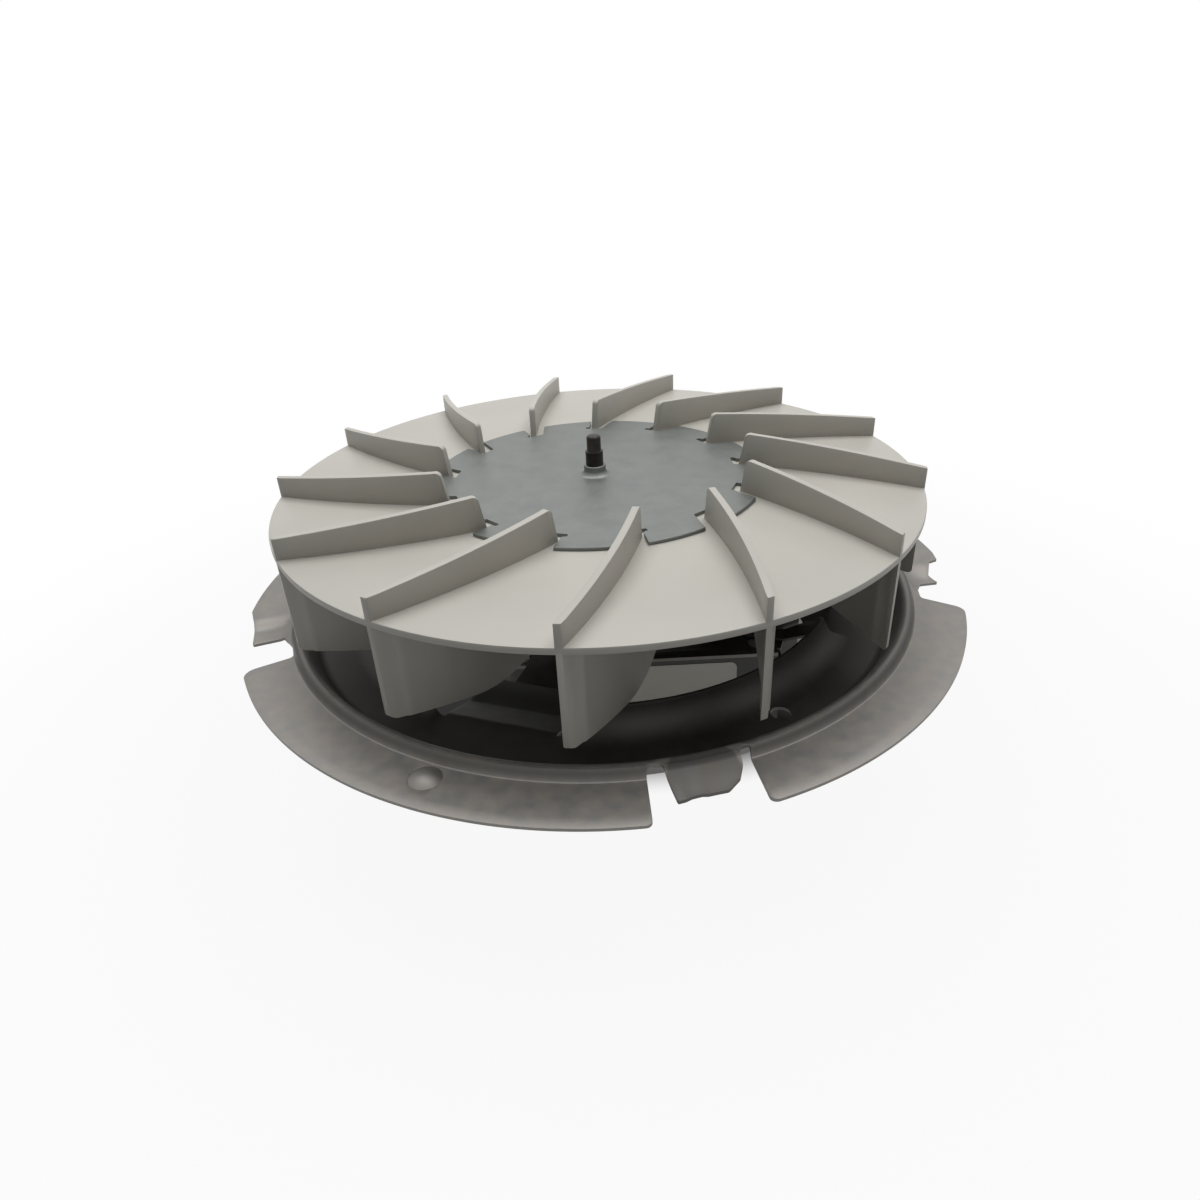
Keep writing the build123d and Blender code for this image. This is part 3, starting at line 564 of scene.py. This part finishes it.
fan_plastic = surface(
    "fan_plastic", (174, 171, 163), (181, 178, 170), 25, 0.42, 0.5, grain_scale=1800, grain_depth=0.000006,
)
hub_zinc = surface(
    "hub_zinc", (110, 113, 111), (121, 124, 121), 160, 0.46, 0.53, metal=0.88, grain_scale=1500,
    grain_depth=0.000004, pattern=spangle_group, pattern_scale={"Scale": 900.0}, pattern_share=0.5,
)
plate_steel = surface(
    "plate_steel", (120, 119, 117), (133, 128, 122), 260, 0.52, 0.6, metal=0.8, grain_scale=1600,
    grain_depth=0.000008,
)
# Painted shade on the plate's drawn parts, with a painted highlight left on the bead's crest.
paint_shade_by_radius(plate_steel, PLATE_PAINTED_SHADES)
# Painted shade on the front and back tabs, darker near each tab's middle.
for tab_angle in BENT_TAB_ANGLES:
    paint_shade_spot(plate_steel, polar(TAB_SHADE_R, tab_angle), *TAB_SHADE_EDGE, TAB_SHADE)
bright_zinc = surface(
    "bright_zinc", (150, 150, 148), (190, 190, 188), 90, 0.25, 0.4, metal=1.0, grain_scale=2500,
    grain_depth=0.000006,
)
bracket_steel = surface(
    "bracket_steel", (62, 61, 58), (88, 86, 82), 80, 0.35, 0.5, metal=1.0, grain_scale=1800,
    grain_depth=0.00001,
)
core_steel = surface(
    "core_steel", (34, 34, 32), (58, 58, 55), 120, 0.4, 0.6, metal=0.6, grain_scale=2500, grain_depth=0.00001,
    pattern=layers_group, pattern_scale={"Pitch": 0.0005}, pattern_share=0.6,
)
black_oxide = surface(
    "black_oxide", (26, 25, 23), (52, 48, 43), 300, 0.3, 0.5, metal=0.7, grain_scale=4000,
    grain_depth=0.00001,
)
cast_aluminium = surface(
    "cast_aluminium", (150, 150, 150), (190, 190, 190), 200, 0.35, 0.55, metal=1.0, grain_scale=2500,
    grain_depth=0.00003,
)
copper_wire = surface(
    "copper_wire", (120, 58, 28), (186, 104, 58), 100, 0.25, 0.4, metal=1.0, grain_scale=2500,
    grain_depth=0.00001, pattern=layers_group, pattern_scale={"Pitch": 0.0006}, pattern_share=0.6,
)
tinned_brass = surface(
    "tinned_brass", (160, 152, 118), (196, 188, 152), 200, 0.25, 0.4, metal=1.0, grain_scale=3000,
    grain_depth=0.000005,
)
bearing_bronze = surface(
    "bearing_bronze", (118, 84, 44), (158, 118, 70), 400, 0.4, 0.6, metal=1.0, grain_scale=5000,
    grain_depth=0.00002,
)
bobbin_plastic = surface(
    "bobbin_plastic", (44, 42, 38), (58, 55, 50), 100, 0.4, 0.55, grain_scale=2000, grain_depth=0.00001,
)
coil_tape = surface(
    "coil_tape", (66, 52, 38), (92, 74, 54), 120, 0.35, 0.5, grain_scale=2200, grain_depth=0.00003, sheen=0.1,
    pattern=layers_group, pattern_scale={"Pitch": 0.0011}, pattern_share=0.35,
)
felt_fibre = surface(
    "felt_fibre", (168, 160, 138), (206, 198, 176), 900, 0.85, 0.95, grain_scale=6000, grain_depth=0.0001,
    sheen=0.4,
)
washer_plastic = surface(
    "washer_plastic", (206, 204, 196), (220, 218, 210), 200, 0.4, 0.5, grain_scale=2500, grain_depth=0.000005,
)
label_paper = surface(
    "label_paper", (212, 211, 200), (222, 221, 211), 60, 0.45, 0.55, grain_scale=3500, grain_depth=0.000008,
)

finishes = {
    "impeller": fan_plastic,
    "hub_disc": hub_zinc,
    "mounting_plate": plate_steel,
    "motor_bracket": bracket_steel,
    "stator_core": core_steel,
    "coil_core": core_steel,
    "rotor_core": core_steel,
    "rotor_cage": cast_aluminium,
    "coil_bobbin": bobbin_plastic,
    "coil_winding": copper_wire,
    "coil_wrap": coil_tape,
    "shading_rings": copper_wire,
    "power_terminals": tinned_brass,
    "earth_tab": tinned_brass,
    "upper_bearing": bearing_bronze,
    "lower_bearing": bearing_bronze,
    "upper_oil_felt": felt_fibre,
    "lower_oil_felt": felt_fibre,
    "upper_thrust_washer": washer_plastic,
    "lower_thrust_washer": washer_plastic,
    "shaft": black_oxide,
    "rating_label": label_paper,
}


def dress(piece, finish):
    piece.data.materials.clear()
    piece.data.materials.append(finish)


for name, cad_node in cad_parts.items():
    dress(cad_node, finishes.get(name, bright_zinc))

# Impeller moulding


def rib_top(radius):
    """The height of the ribs' upper edge, which rises towards the shaft."""
    return IMPELLER_TOP + RIB_OUTER_H + (IMPELLER_R - radius) * RIB_RISE / RIB_RUN


def blade_bottom(radius):
    """The blades' lower edge: level outside, then a soft knee, then a slope up to the hub."""
    past = BLADE_FLAT_R - radius
    if abs(past) < BLADE_KNEE:
        return BLADE_BOTTOM + BLADE_SLOPE * (past + BLADE_KNEE) ** 2 / (4 * BLADE_KNEE)
    return BLADE_BOTTOM + max(0.0, past) * BLADE_SLOPE


def stations_outside(stations, outer_angle, arc_r, inner_r):
    """The stations along a blade's curve that lie farther from the shaft than its inner end."""
    return [s for s in stations if hypot(*camber_point(outer_angle, arc_r, s, 0)) > inner_r]


moulding = bmesh.new()
ring_top = IMPELLER_TOP
ring_bottom = IMPELLER_TOP - RING_T
spun_profile(
    moulding,
    [
        (BORE_R, ring_bottom), (BORE_R, ring_top), (RING_MIDDLE_R, ring_top),
        (IMPELLER_R - RING_EDGE, ring_top),
        (IMPELLER_R - 0.1, ring_top - 0.1), (IMPELLER_R, ring_top - RING_EDGE),
        (IMPELLER_R, ring_bottom + RING_EDGE), (IMPELLER_R - 0.1, ring_bottom + 0.1),
        (IMPELLER_R - RING_EDGE, ring_bottom), (RING_MIDDLE_R, ring_bottom),
    ],
    RING_STEPS,
)

rib_stations = stations_outside(
    [RIB_STATION * i for i in range(27)], RIB_OUTER_ANGLE, RIB_ARC_R, RIB_INNER_R,
)
rib, _, rib_crest = blade_wall(
    RIB_OUTER_ANGLE, RIB_ARC_R, rib_stations, [RIB_HALF_T] * len(rib_stations),
    lambda r: ring_top - WALL_OVERLAP, rib_top, RIB_LEAN,
)
bevel(rib, end_edges(rib_crest, False), RIB_CORNER_R, 7)
bevel(rib, sharp_edges(rib), MOULDED_EDGE, 2)
repeat_round(rib, moulding, BLADES, FIRST_BLADE)

last_tip = BLADE_TIP_STATIONS[-1]
blade_stations = stations_outside(
    BLADE_TIP_STATIONS + [last_tip + BLADE_STATION * i for i in range(1, 33)],
    BLADE_OUTER_ANGLE, BLADE_ARC_R, BLADE_INNER_R,
)
blade_halves = [BLADE_TIP_HALF_T if s < BLADE_TIP_LENGTH else BLADE_HALF_T for s in blade_stations]
blade, blade_foot, _ = blade_wall(
    BLADE_OUTER_ANGLE, BLADE_ARC_R, blade_stations, blade_halves,
    blade_bottom, lambda r: ring_bottom + WALL_OVERLAP,
)
bevel(blade, end_edges(blade_foot, True), BLADE_CORNER_R, 5)
bevel(blade, sharp_edges(blade, 40), MOULDED_EDGE, 2)
repeat_round(blade, moulding, BLADES, FIRST_BLADE)

impeller = make_piece(moulding, "impeller_moulding", "rotor", "impeller")
dress(impeller, fan_plastic)

# Mounting plate: one pressed sheet, spun, pressed into shape at its arms and tabs, then trimmed


def rounded(corners, steps=6):
    """A line through corners of (across, up, rounding), with an arc at each rounded corner."""
    line = []
    for index, (r, z, rounding) in enumerate(corners):
        here = Vector((r, z))
        if rounding == 0:
            line.append(here)
            continue
        back = (Vector(corners[index - 1][:2]) - here).normalized()
        on = (Vector(corners[(index + 1) % len(corners)][:2]) - here).normalized()
        half = back.angle(on) / 2
        centre = here + (back + on).normalized() * rounding / sin(half)
        start = here + back * rounding / tan(half)
        sweep = (start - centre).angle_signed(here + on * rounding / tan(half) - centre)
        for step in range(steps + 1):
            line.append(centre + Matrix.Rotation(-sweep * step / steps, 2) @ (start - centre))
    return [(p.x, p.y) for p in line]


def angle_from(vert, centre):
    return (degrees(atan2(vert.co.y, vert.co.x)) - centre + 180) % 360 - 180


plate_line = rounded(
    [(PLATE_R, FLANGE_Z, 0)] + [(station, FLANGE_Z, 0) for station in FLANGE_STATIONS] + [
        (CREASE_R, FLANGE_Z, 0.8), (BEAD_OUTER_R, CREST_Z - 0.2, 0.9), (BEAD_INNER_R, CREST_Z, 1.3),
        (TROUGH_OUTER_R, TROUGH_Z, 2.4), (80.0, TROUGH_Z, 0), (TROUGH_INNER_R, TROUGH_Z, 0),
    ]
)
for step in range(1, MOUTH_STEPS + 1):
    bend = radians(90.0 * step / MOUTH_STEPS)
    plate_line.append((TROUGH_INNER_R - MOUTH_R * sin(bend), TROUGH_Z + MOUTH_R * (1 - cos(bend))))

sheet = bmesh.new()
spun_profile(sheet, plate_line, COLUMNS, closed=False)
bmesh.ops.rotate(sheet, verts=sheet.verts, cent=(0, 0, 0), matrix=Matrix.Rotation(radians(ARM_FIRST), 3, "Z"))

# The mouth's wall eases down into each arm's root.


def arm_reach(arm, off):
    """How far a column at this angle from an arm's centre line belongs to the arm, from 0 to 1.

    Also gives the angle at which the arm's root is met."""
    flat_end = ARM_HALF_ANGLE if off > 0 else (ARM_NARROW_ANGLE if arm % 2 else ARM_WIDE_ANGLE)
    slope = NARROW_SLOPE_ANGLE if off < 0 and arm % 2 else WIDE_SLOPE_ANGLE
    return 1 - smooth_step(abs(off), flat_end + 0.05, flat_end + slope), min(abs(off), flat_end)


for v in sheet.verts:
    radius = hypot(v.co.x, v.co.y)
    if radius > TROUGH_INNER_R - 0.01:
        continue
    offsets = [(angle_from(v, ARM_FIRST + 90 * arm), arm) for arm in range(4)]
    off, arm = min(offsets, key=lambda pair: abs(pair[0]))
    flat, root_angle = arm_reach(arm, off)
    if flat == 0:
        continue
    share = asin(min(1.0, (TROUGH_INNER_R - radius) / MOUTH_R)) / (pi / 2)
    root = ARM_ROOT_R / cos(radians(root_angle))
    level_r = TROUGH_INNER_R + (root - TROUGH_INNER_R) * share
    new_r = radius + (level_r - radius) * flat
    v.co.x *= new_r / radius
    v.co.y *= new_r / radius
    v.co.z += (TROUGH_Z - v.co.z) * flat


def is_root(v, arm, centre):
    """Whether a vertex of the mouth's rim is in an arm's flat root."""
    return arm_reach(arm, angle_from(v, centre))[0] > 0.999 and hypot(v.co.x, v.co.y) < TROUGH_INNER_R - 1


arm_line = rounded([
    (ARM_ROOT_R, TROUGH_Z, 0), (ARM_ROOT_R - 1.2, TROUGH_Z, 3.0), (ARM_BEND_R, ARM_FOOT_Z, 3.0),
    (52.0, ARM_FOOT_Z, 0), (ARM_FOOT_R, ARM_FOOT_Z, 0),
], 4)
for arm in range(4):
    centre = ARM_FIRST + 90 * arm
    outwards = polar(1, centre)
    along = polar(1, centre + 90)
    edge = [e for e in sheet.edges if e.is_boundary and all(is_root(v, arm, centre) for v in e.verts)]
    for reach, height in arm_line[1:]:
        grown = bmesh.ops.extrude_edge_only(sheet, edges=edge)["geom"]
        edge = [e for e in grown if isinstance(e, bmesh.types.BMEdge) and e.is_boundary]
        edge = [e for e in edge if all(v in grown for v in e.verts)]
        for v in (g for g in grown if isinstance(g, bmesh.types.BMVert)):
            aside = v.co.xy.dot(along.xy)
            v.co.xy = outwards.xy * reach + along.xy * aside
            v.co.z = height

# Tabs: the front and back ones bend down from the bead, the side ones step down from the flange.
tab_line = rounded([
    (BEAD_INNER_R, CREST_Z, 0), (BEAD_OUTER_R, CREST_Z - 0.3, 1.2), (92.6, 45.4, 3.0), (BENT_TAB_R, 42.4, 0),
], 4)


def tab_height(radius):
    """The height of the front and back tabs at a radius."""
    for (r0, z0), (r1, z1) in zip(tab_line, tab_line[1:]):
        if r0 <= radius <= r1:
            return z0 + (z1 - z0) * (radius - r0) / (r1 - r0)
    return tab_line[-1][1]


for v in sheet.verts:
    radius = hypot(v.co.x, v.co.y)
    if radius < BEAD_INNER_R + 0.3:
        continue
    for centre in BENT_TAB_ANGLES:
        off = angle_from(v, centre)
        if abs(off) < 6.3 - 0.09 * (radius - CREASE_R):
            beyond = (radius - BEAD_INNER_R) / (PLATE_R - BEAD_INNER_R)
            reach = BEAD_INNER_R + beyond * (BENT_TAB_R - BEAD_INNER_R)
            v.co.xy = v.co.xy * (reach / radius)
            aside = reach * sin(radians(off))
            raised = smooth_step(aside, -5.4, -4.4) * (1 - smooth_step(aside, -2.0, -1.0))
            v.co.z = tab_height(reach) + TAB_RIB_H * (raised * smooth_step(reach, 91.5, 93.0))
    if radius > CREASE_R - 0.5:
        joggle = smooth_step(radius, CREASE_R - 0.5, CREASE_R + 3.0)
        left = angle_from(v, LEFT_TAB_ANGLE)
        right = angle_from(v, RIGHT_TAB_ANGLE)
        if -9 < left < 4:
            # The step's foot runs slightly aslant.
            line = -6.6 + 0.10 * (radius - 98)
            lowered = LEFT_TAB_DROP * joggle * smooth_step(left, line, line + 2.0)
            v.co.z -= lowered * (1 - smooth_step(left, 0.8, 4.0))
        if -5.5 < right < 6:
            lowered = RIGHT_TAB_DROP * joggle * (1 - smooth_step(right, 0.7, 5.2))
            v.co.z -= lowered * smooth_step(right, -5.5, -1.0)

bmesh.ops.recalc_face_normals(sheet, faces=sheet.faces)
if max(sheet.faces, key=lambda f: hypot(*f.calc_center_median().xy)).normal.z < 0:
    bmesh.ops.reverse_faces(sheet, faces=sheet.faces)


def prism(bm, outline, low, high):
    """An upright block with this outline in plan."""
    face = bm.faces.new([bm.verts.new((x, y, low)) for x, y in outline])
    grown = bmesh.ops.extrude_face_region(bm, geom=[face], use_keep_orig=True)["geom"]
    tops = [g for g in grown if isinstance(g, bmesh.types.BMVert)]
    bmesh.ops.translate(bm, vec=(0, 0, high - low), verts=tops)
    bmesh.ops.recalc_face_normals(bm, faces=bm.faces)


def in_plan(corners, turn=0):
    """An outline given as (radius, angle, rounding), turned round Z and with its corners rounded."""
    return rounded([(*polar(radius, angle + turn).xy, rounding) for radius, angle, rounding in corners])


cutter = bmesh.new()
for outline, turn in ((FRONT_GAP, 0), (FRONT_GAP, 180), (LEFT_GAP, 0), (RIGHT_GAP, 0)):
    prism(cutter, in_plan(outline, turn), CUT_LOW, CUT_HIGH)
room_length, room_half_w, room_low, room_high = COIL_ROOM
prism(
    cutter,
    [(0, -room_half_w), (room_length, -room_half_w), (room_length, room_half_w), (0, room_half_w)],
    room_low, room_high,
)
dimple_at = polar(DIMPLE_R, DIMPLE_ANGLE)
round_holes = [(polar(HOLE_CIRCLE_R, FIRST_HOLE + 120 * index), HOLE_R) for index in range(3)]
for centre, radius in round_holes + [(dimple_at, DIMPLE_HOLE_R)]:
    prism(cutter, [tuple(centre.xy + polar(radius, 10 * step).xy) for step in range(36)], CUT_LOW, CUT_HIGH)


def plain_object(bm, name):
    """A scratch object in metres that only gives its shape to another."""
    bmesh.ops.scale(bm, vec=(MM, MM, MM), verts=bm.verts)
    mesh = bpy.data.meshes.new(name)
    bm.to_mesh(mesh)
    bm.free()
    made = bpy.data.objects.new(name, mesh)
    bpy.context.scene.collection.objects.link(made)
    return made


def settle(source, *helpers):
    """Gives an object's mesh with its modifiers applied, in millimetres, and removes the scratch objects."""
    graph = bpy.context.evaluated_depsgraph_get()
    mesh = bpy.data.meshes.new_from_object(source.evaluated_get(graph))
    bm = bmesh.new()
    bm.from_mesh(mesh)
    bmesh.ops.scale(bm, vec=(1 / MM, 1 / MM, 1 / MM), verts=bm.verts)
    bpy.data.meshes.remove(mesh)
    for helper in (source, *helpers):
        old = helper.data
        bpy.data.objects.remove(helper)
        bpy.data.meshes.remove(old)
    return bm


def cut_away(target, tool):
    """Cuts one scratch object's shape out of another."""
    cut = target.modifiers.new("cut", "BOOLEAN")
    cut.operation = "DIFFERENCE"
    cut.solver = "MANIFOLD"
    cut.object = tool


raw_plate = plain_object(sheet, "raw_plate")
plate_cutter = plain_object(cutter, "plate_cutter")
thick = raw_plate.modifiers.new("thickness", "SOLIDIFY")
thick.thickness = PLATE_T * MM
thick.offset = 0
thick.use_even_offset = True
cut_away(raw_plate, plate_cutter)
pressed = settle(raw_plate, plate_cutter)
bmesh.ops.remove_doubles(pressed, verts=pressed.verts, dist=WELD)
bmesh.ops.dissolve_degenerate(pressed, edges=pressed.edges, dist=WELD)
bevel(pressed, sharp_edges(pressed, 50), PLATE_EDGE, 2)

# The dimple is a shallow dome of the sheet's thickness.
dome = bmesh.new()
dome_arc = [radians(DIMPLE_HALF_ANGLE * step / 10) for step in range(11)]
outer_arc = [(DIMPLE_SPHERE_R * sin(a), DIMPLE_TOP - DIMPLE_SPHERE_R * (1 - cos(a))) for a in dome_arc]
inner_arc = [
    (DIMPLE_INNER_SPHERE_R * sin(a) * DIMPLE_FLARE, DIMPLE_INNER_TOP - DIMPLE_INNER_SPHERE_R * (1 - cos(a)))
    for a in reversed(dome_arc)
]
spun_profile(dome, outer_arc + inner_arc, 48, closed=False)
bmesh.ops.recalc_face_normals(dome, faces=dome.faces)
bmesh.ops.translate(dome, vec=dimple_at, verts=dome.verts)
add_copy(dome, pressed)
dome.free()
plate = make_piece(pressed, "pressed_plate", "frame", "mounting_plate", sharp=50)
dress(plate, plate_steel)

# Hub disc: a pressed disc with a drawn collar and a keyed notch at the inner end of each rib

disc_bottom = IMPELLER_TOP
disc_top = IMPELLER_TOP + HUB_T
disc = bmesh.new()
spun_profile(
    disc,
    [
        (SHAFT_R, disc_bottom), (HUB_R - HUB_EDGE, disc_bottom), (HUB_R, disc_bottom + HUB_EDGE),
        (HUB_R, disc_top - HUB_EDGE), (HUB_R - HUB_EDGE, disc_top), (SHAFT_R, disc_top),
    ],
    192,
)
bmesh.ops.recalc_face_normals(disc, faces=disc.faces)
collar_bend = [
    (COLLAR_FOOT_R - COLLAR_BEND_R * sin(turn), disc_top + COLLAR_BEND_R * (1 - cos(turn)))
    for turn in (radians(15.0 * step) for step in range(7))
]
collar = bmesh.new()
spun_profile(
    collar,
    [(SHAFT_R, disc_top - COLLAR_SUNK), (COLLAR_FOOT_R, disc_top - COLLAR_SUNK)] + collar_bend + [
        (3.1, disc_top + COLLAR_H - 0.15), (2.95, disc_top + COLLAR_H), (SHAFT_R, disc_top + COLLAR_H),
    ],
    64,
)
bmesh.ops.recalc_face_normals(collar, faces=collar.faces)
notches = bmesh.new()
for index in range(BLADES):
    prism(notches, in_plan(NOTCH, FIRST_BLADE + index * PITCH), disc_bottom - 1, disc_top + 1)
raw_disc = plain_object(disc, "raw_disc")
notch_cutter = plain_object(notches, "notch_cutter")
cut_away(raw_disc, notch_cutter)
punched = settle(raw_disc, notch_cutter)
bmesh.ops.remove_doubles(punched, verts=punched.verts, dist=WELD)
bevel(punched, sharp_edges(punched, 60), NOTCH_EDGE, 2)
repeat_round(collar, punched, 1, 0)
collar.free()
hub = make_piece(punched, "hub_disc_pressing", "rotor", "hub_disc", sharp=8)
dress(hub, hub_zinc)

# The other nodes that show: their own shapes with the edges broken


def ease_edges(name, body, slot, offset):
    """A copy of a CAD node with its loose triangles merged and its sharp edges bevelled."""
    bm = bmesh.new()
    bm.from_mesh(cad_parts[name].data)
    bmesh.ops.scale(bm, vec=(1 / MM, 1 / MM, 1 / MM), verts=bm.verts)
    bmesh.ops.remove_doubles(bm, verts=bm.verts, dist=0.002)
    bmesh.ops.dissolve_limit(
        bm, angle_limit=radians(1), use_dissolve_boundaries=False, verts=bm.verts, edges=bm.edges,
    )
    bevel(bm, sharp_edges(bm, 40), offset, 2)
    piece = make_piece(bm, name + "_eased", body, name, sharp=25)
    dress(piece, finishes.get(name, bright_zinc))


# Each is (node, body, material slot, width of the bevel).
eased_nodes = [
    ("shaft", "rotor", "black_steel", 0.12),
    ("hub_bush", "rotor", "zinc_steel", 0.15),
    ("motor_bracket", "frame", "bracket_steel", 0.12),
    ("stator_core", "frame", "core_steel", 0.1),
    ("coil_bobbin", "frame", "bobbin_plastic", 0.15),
    ("upper_bearing_bridge", "frame", "zinc_steel", 0.15),
    ("lower_bearing_bridge", "frame", "zinc_steel", 0.15),
    ("motor_screws", "frame", "zinc_steel", 0.15),
    ("motor_nuts", "frame", "zinc_steel", 0.15),
    ("power_terminals", "frame", "tinned_brass", 0.08),
    ("earth_tab", "frame", "tinned_brass", 0.08),
]
for eased_node in eased_nodes:
    ease_edges(*eased_node)

# Floor, light and camera


def white_where_seen(tree):
    """One for camera rays and for rays that metal or glass sends on, and zero for other light."""
    path = node(tree, "ShaderNodeLightPath")
    seen = node(tree, "ShaderNodeMath", operation="MAXIMUM")
    both = node(tree, "ShaderNodeMath", operation="MAXIMUM")
    link(tree, path.outputs["Is Camera Ray"], seen.inputs[0])
    link(tree, path.outputs["Is Glossy Ray"], seen.inputs[1])
    link(tree, seen.outputs["Value"], both.inputs[0])
    link(tree, path.outputs["Is Transmission Ray"], both.inputs[1])
    return both.outputs["Value"]


world = bpy.data.worlds.new("studio")
bpy.context.scene.world = world
world.use_nodes = True
sky = world.node_tree
back = sky.nodes["Background"]
back.inputs["Color"].default_value = (1, 1, 1, 1)
link(sky, remap(sky, white_where_seen(sky), 0, 1, AMBIENT, 1.0), back.inputs["Strength"])

# The floor: white where it is seen, apart from the deep painted shadow under the motor.
floor_bm = bmesh.new()
bmesh.ops.create_grid(floor_bm, x_segments=1, y_segments=1, size=FLOOR_HALF_SIZE)
floor_mesh = bpy.data.meshes.new("floor")
floor_bm.to_mesh(floor_mesh)
floor_bm.free()
floor = bpy.data.objects.new("floor", floor_mesh)
bpy.context.scene.collection.objects.link(floor)
floor_paint = bpy.data.materials.new("floor_paint")
floor_paint.use_nodes = True
paint = floor_paint.node_tree
diffuse = paint.nodes["Principled BSDF"]
diffuse.inputs["Roughness"].default_value = 0.9
glow = node(paint, "ShaderNodeEmission")
glow.inputs["Color"].default_value = (1, 1, 1, 1)
glow.inputs["Strength"].default_value = 1.0
# Painted shadow and painted light: the floor's white falls to a low share under the motor, and a painted
# patch of light lies beside it.
under = distance_mask(paint, SHADE_CENTRE, SHADE_HALF_SIZE, SHADE_NEAR, SHADE_FAR, SHADE_SHARE, NEAR_SHARE)
beyond = distance_mask(paint, (0, 0), (1, 1), *BEYOND_EDGE, 0.0, 1.0 - NEAR_SHARE)
patch = distance_mask(paint, LIT_PATCH, (1, 1), *LIT_PATCH_EDGE, LIT_PATCH_SHARE, 0.0)
# The floor's own colour is painted darker in the same painted shadow.
floor_tone = distance_mask(
    paint, SHADE_CENTRE, SHADE_HALF_SIZE, SHADE_NEAR, SHADE_FAR, SHADED_TONE, FLOOR_TONE,
)
link(paint, floor_tone, diffuse.inputs["Base Color"])
lit = node(paint, "ShaderNodeMath", operation="ADD")
link(paint, under, lit.inputs[0])
link(paint, patch, lit.inputs[1])
glow_share = node(paint, "ShaderNodeMath", operation="ADD")
link(paint, lit.outputs["Value"], glow_share.inputs[0])
link(paint, beyond, glow_share.inputs[1])
seen_share = node(paint, "ShaderNodeMath", operation="MULTIPLY")
link(paint, glow_share.outputs["Value"], seen_share.inputs[0])
link(paint, white_where_seen(paint), seen_share.inputs[1])
share = node(paint, "ShaderNodeMixShader")
link(paint, seen_share.outputs["Value"], share.inputs["Fac"])
link(paint, diffuse.outputs["BSDF"], share.inputs[1])
link(paint, glow.outputs["Emission"], share.inputs[2])
link(paint, share.outputs["Shader"], paint.nodes["Material Output"].inputs["Surface"])
dress(floor, floor_paint)

light = bpy.data.lights.new("overhead_softbox", "AREA")
light.shape = "RECTANGLE"
light.size, light.size_y = SOFTBOX_SIZE
light.energy = SOFTBOX_WATTS
softbox = bpy.data.objects.new("overhead_softbox", light)
softbox.location = SOFTBOX_AT
softbox.rotation_euler = (Vector(SOFTBOX_AIM) - Vector(SOFTBOX_AT)).to_track_quat("-Z", "Y").to_euler()
bpy.context.scene.collection.objects.link(softbox)

camera_data = bpy.data.cameras.new("photo_camera")
camera_data.sensor_width = SENSOR_W
camera_data.sensor_fit = "HORIZONTAL"
camera_data.lens = FOCAL_SHARE * SENSOR_W
camera_data.clip_start = 0.01
camera = bpy.data.objects.new("photo_camera", camera_data)
camera_axes = Matrix((CAMERA_RIGHT, CAMERA_UP, -CAMERA_FORWARD)).transposed()
camera.matrix_world = Matrix.Translation(CAMERA_AT) @ camera_axes.to_4x4()
bpy.context.scene.collection.objects.link(camera)
bpy.context.scene.camera = camera

scene = bpy.context.scene
scene.view_settings.view_transform = "Standard"
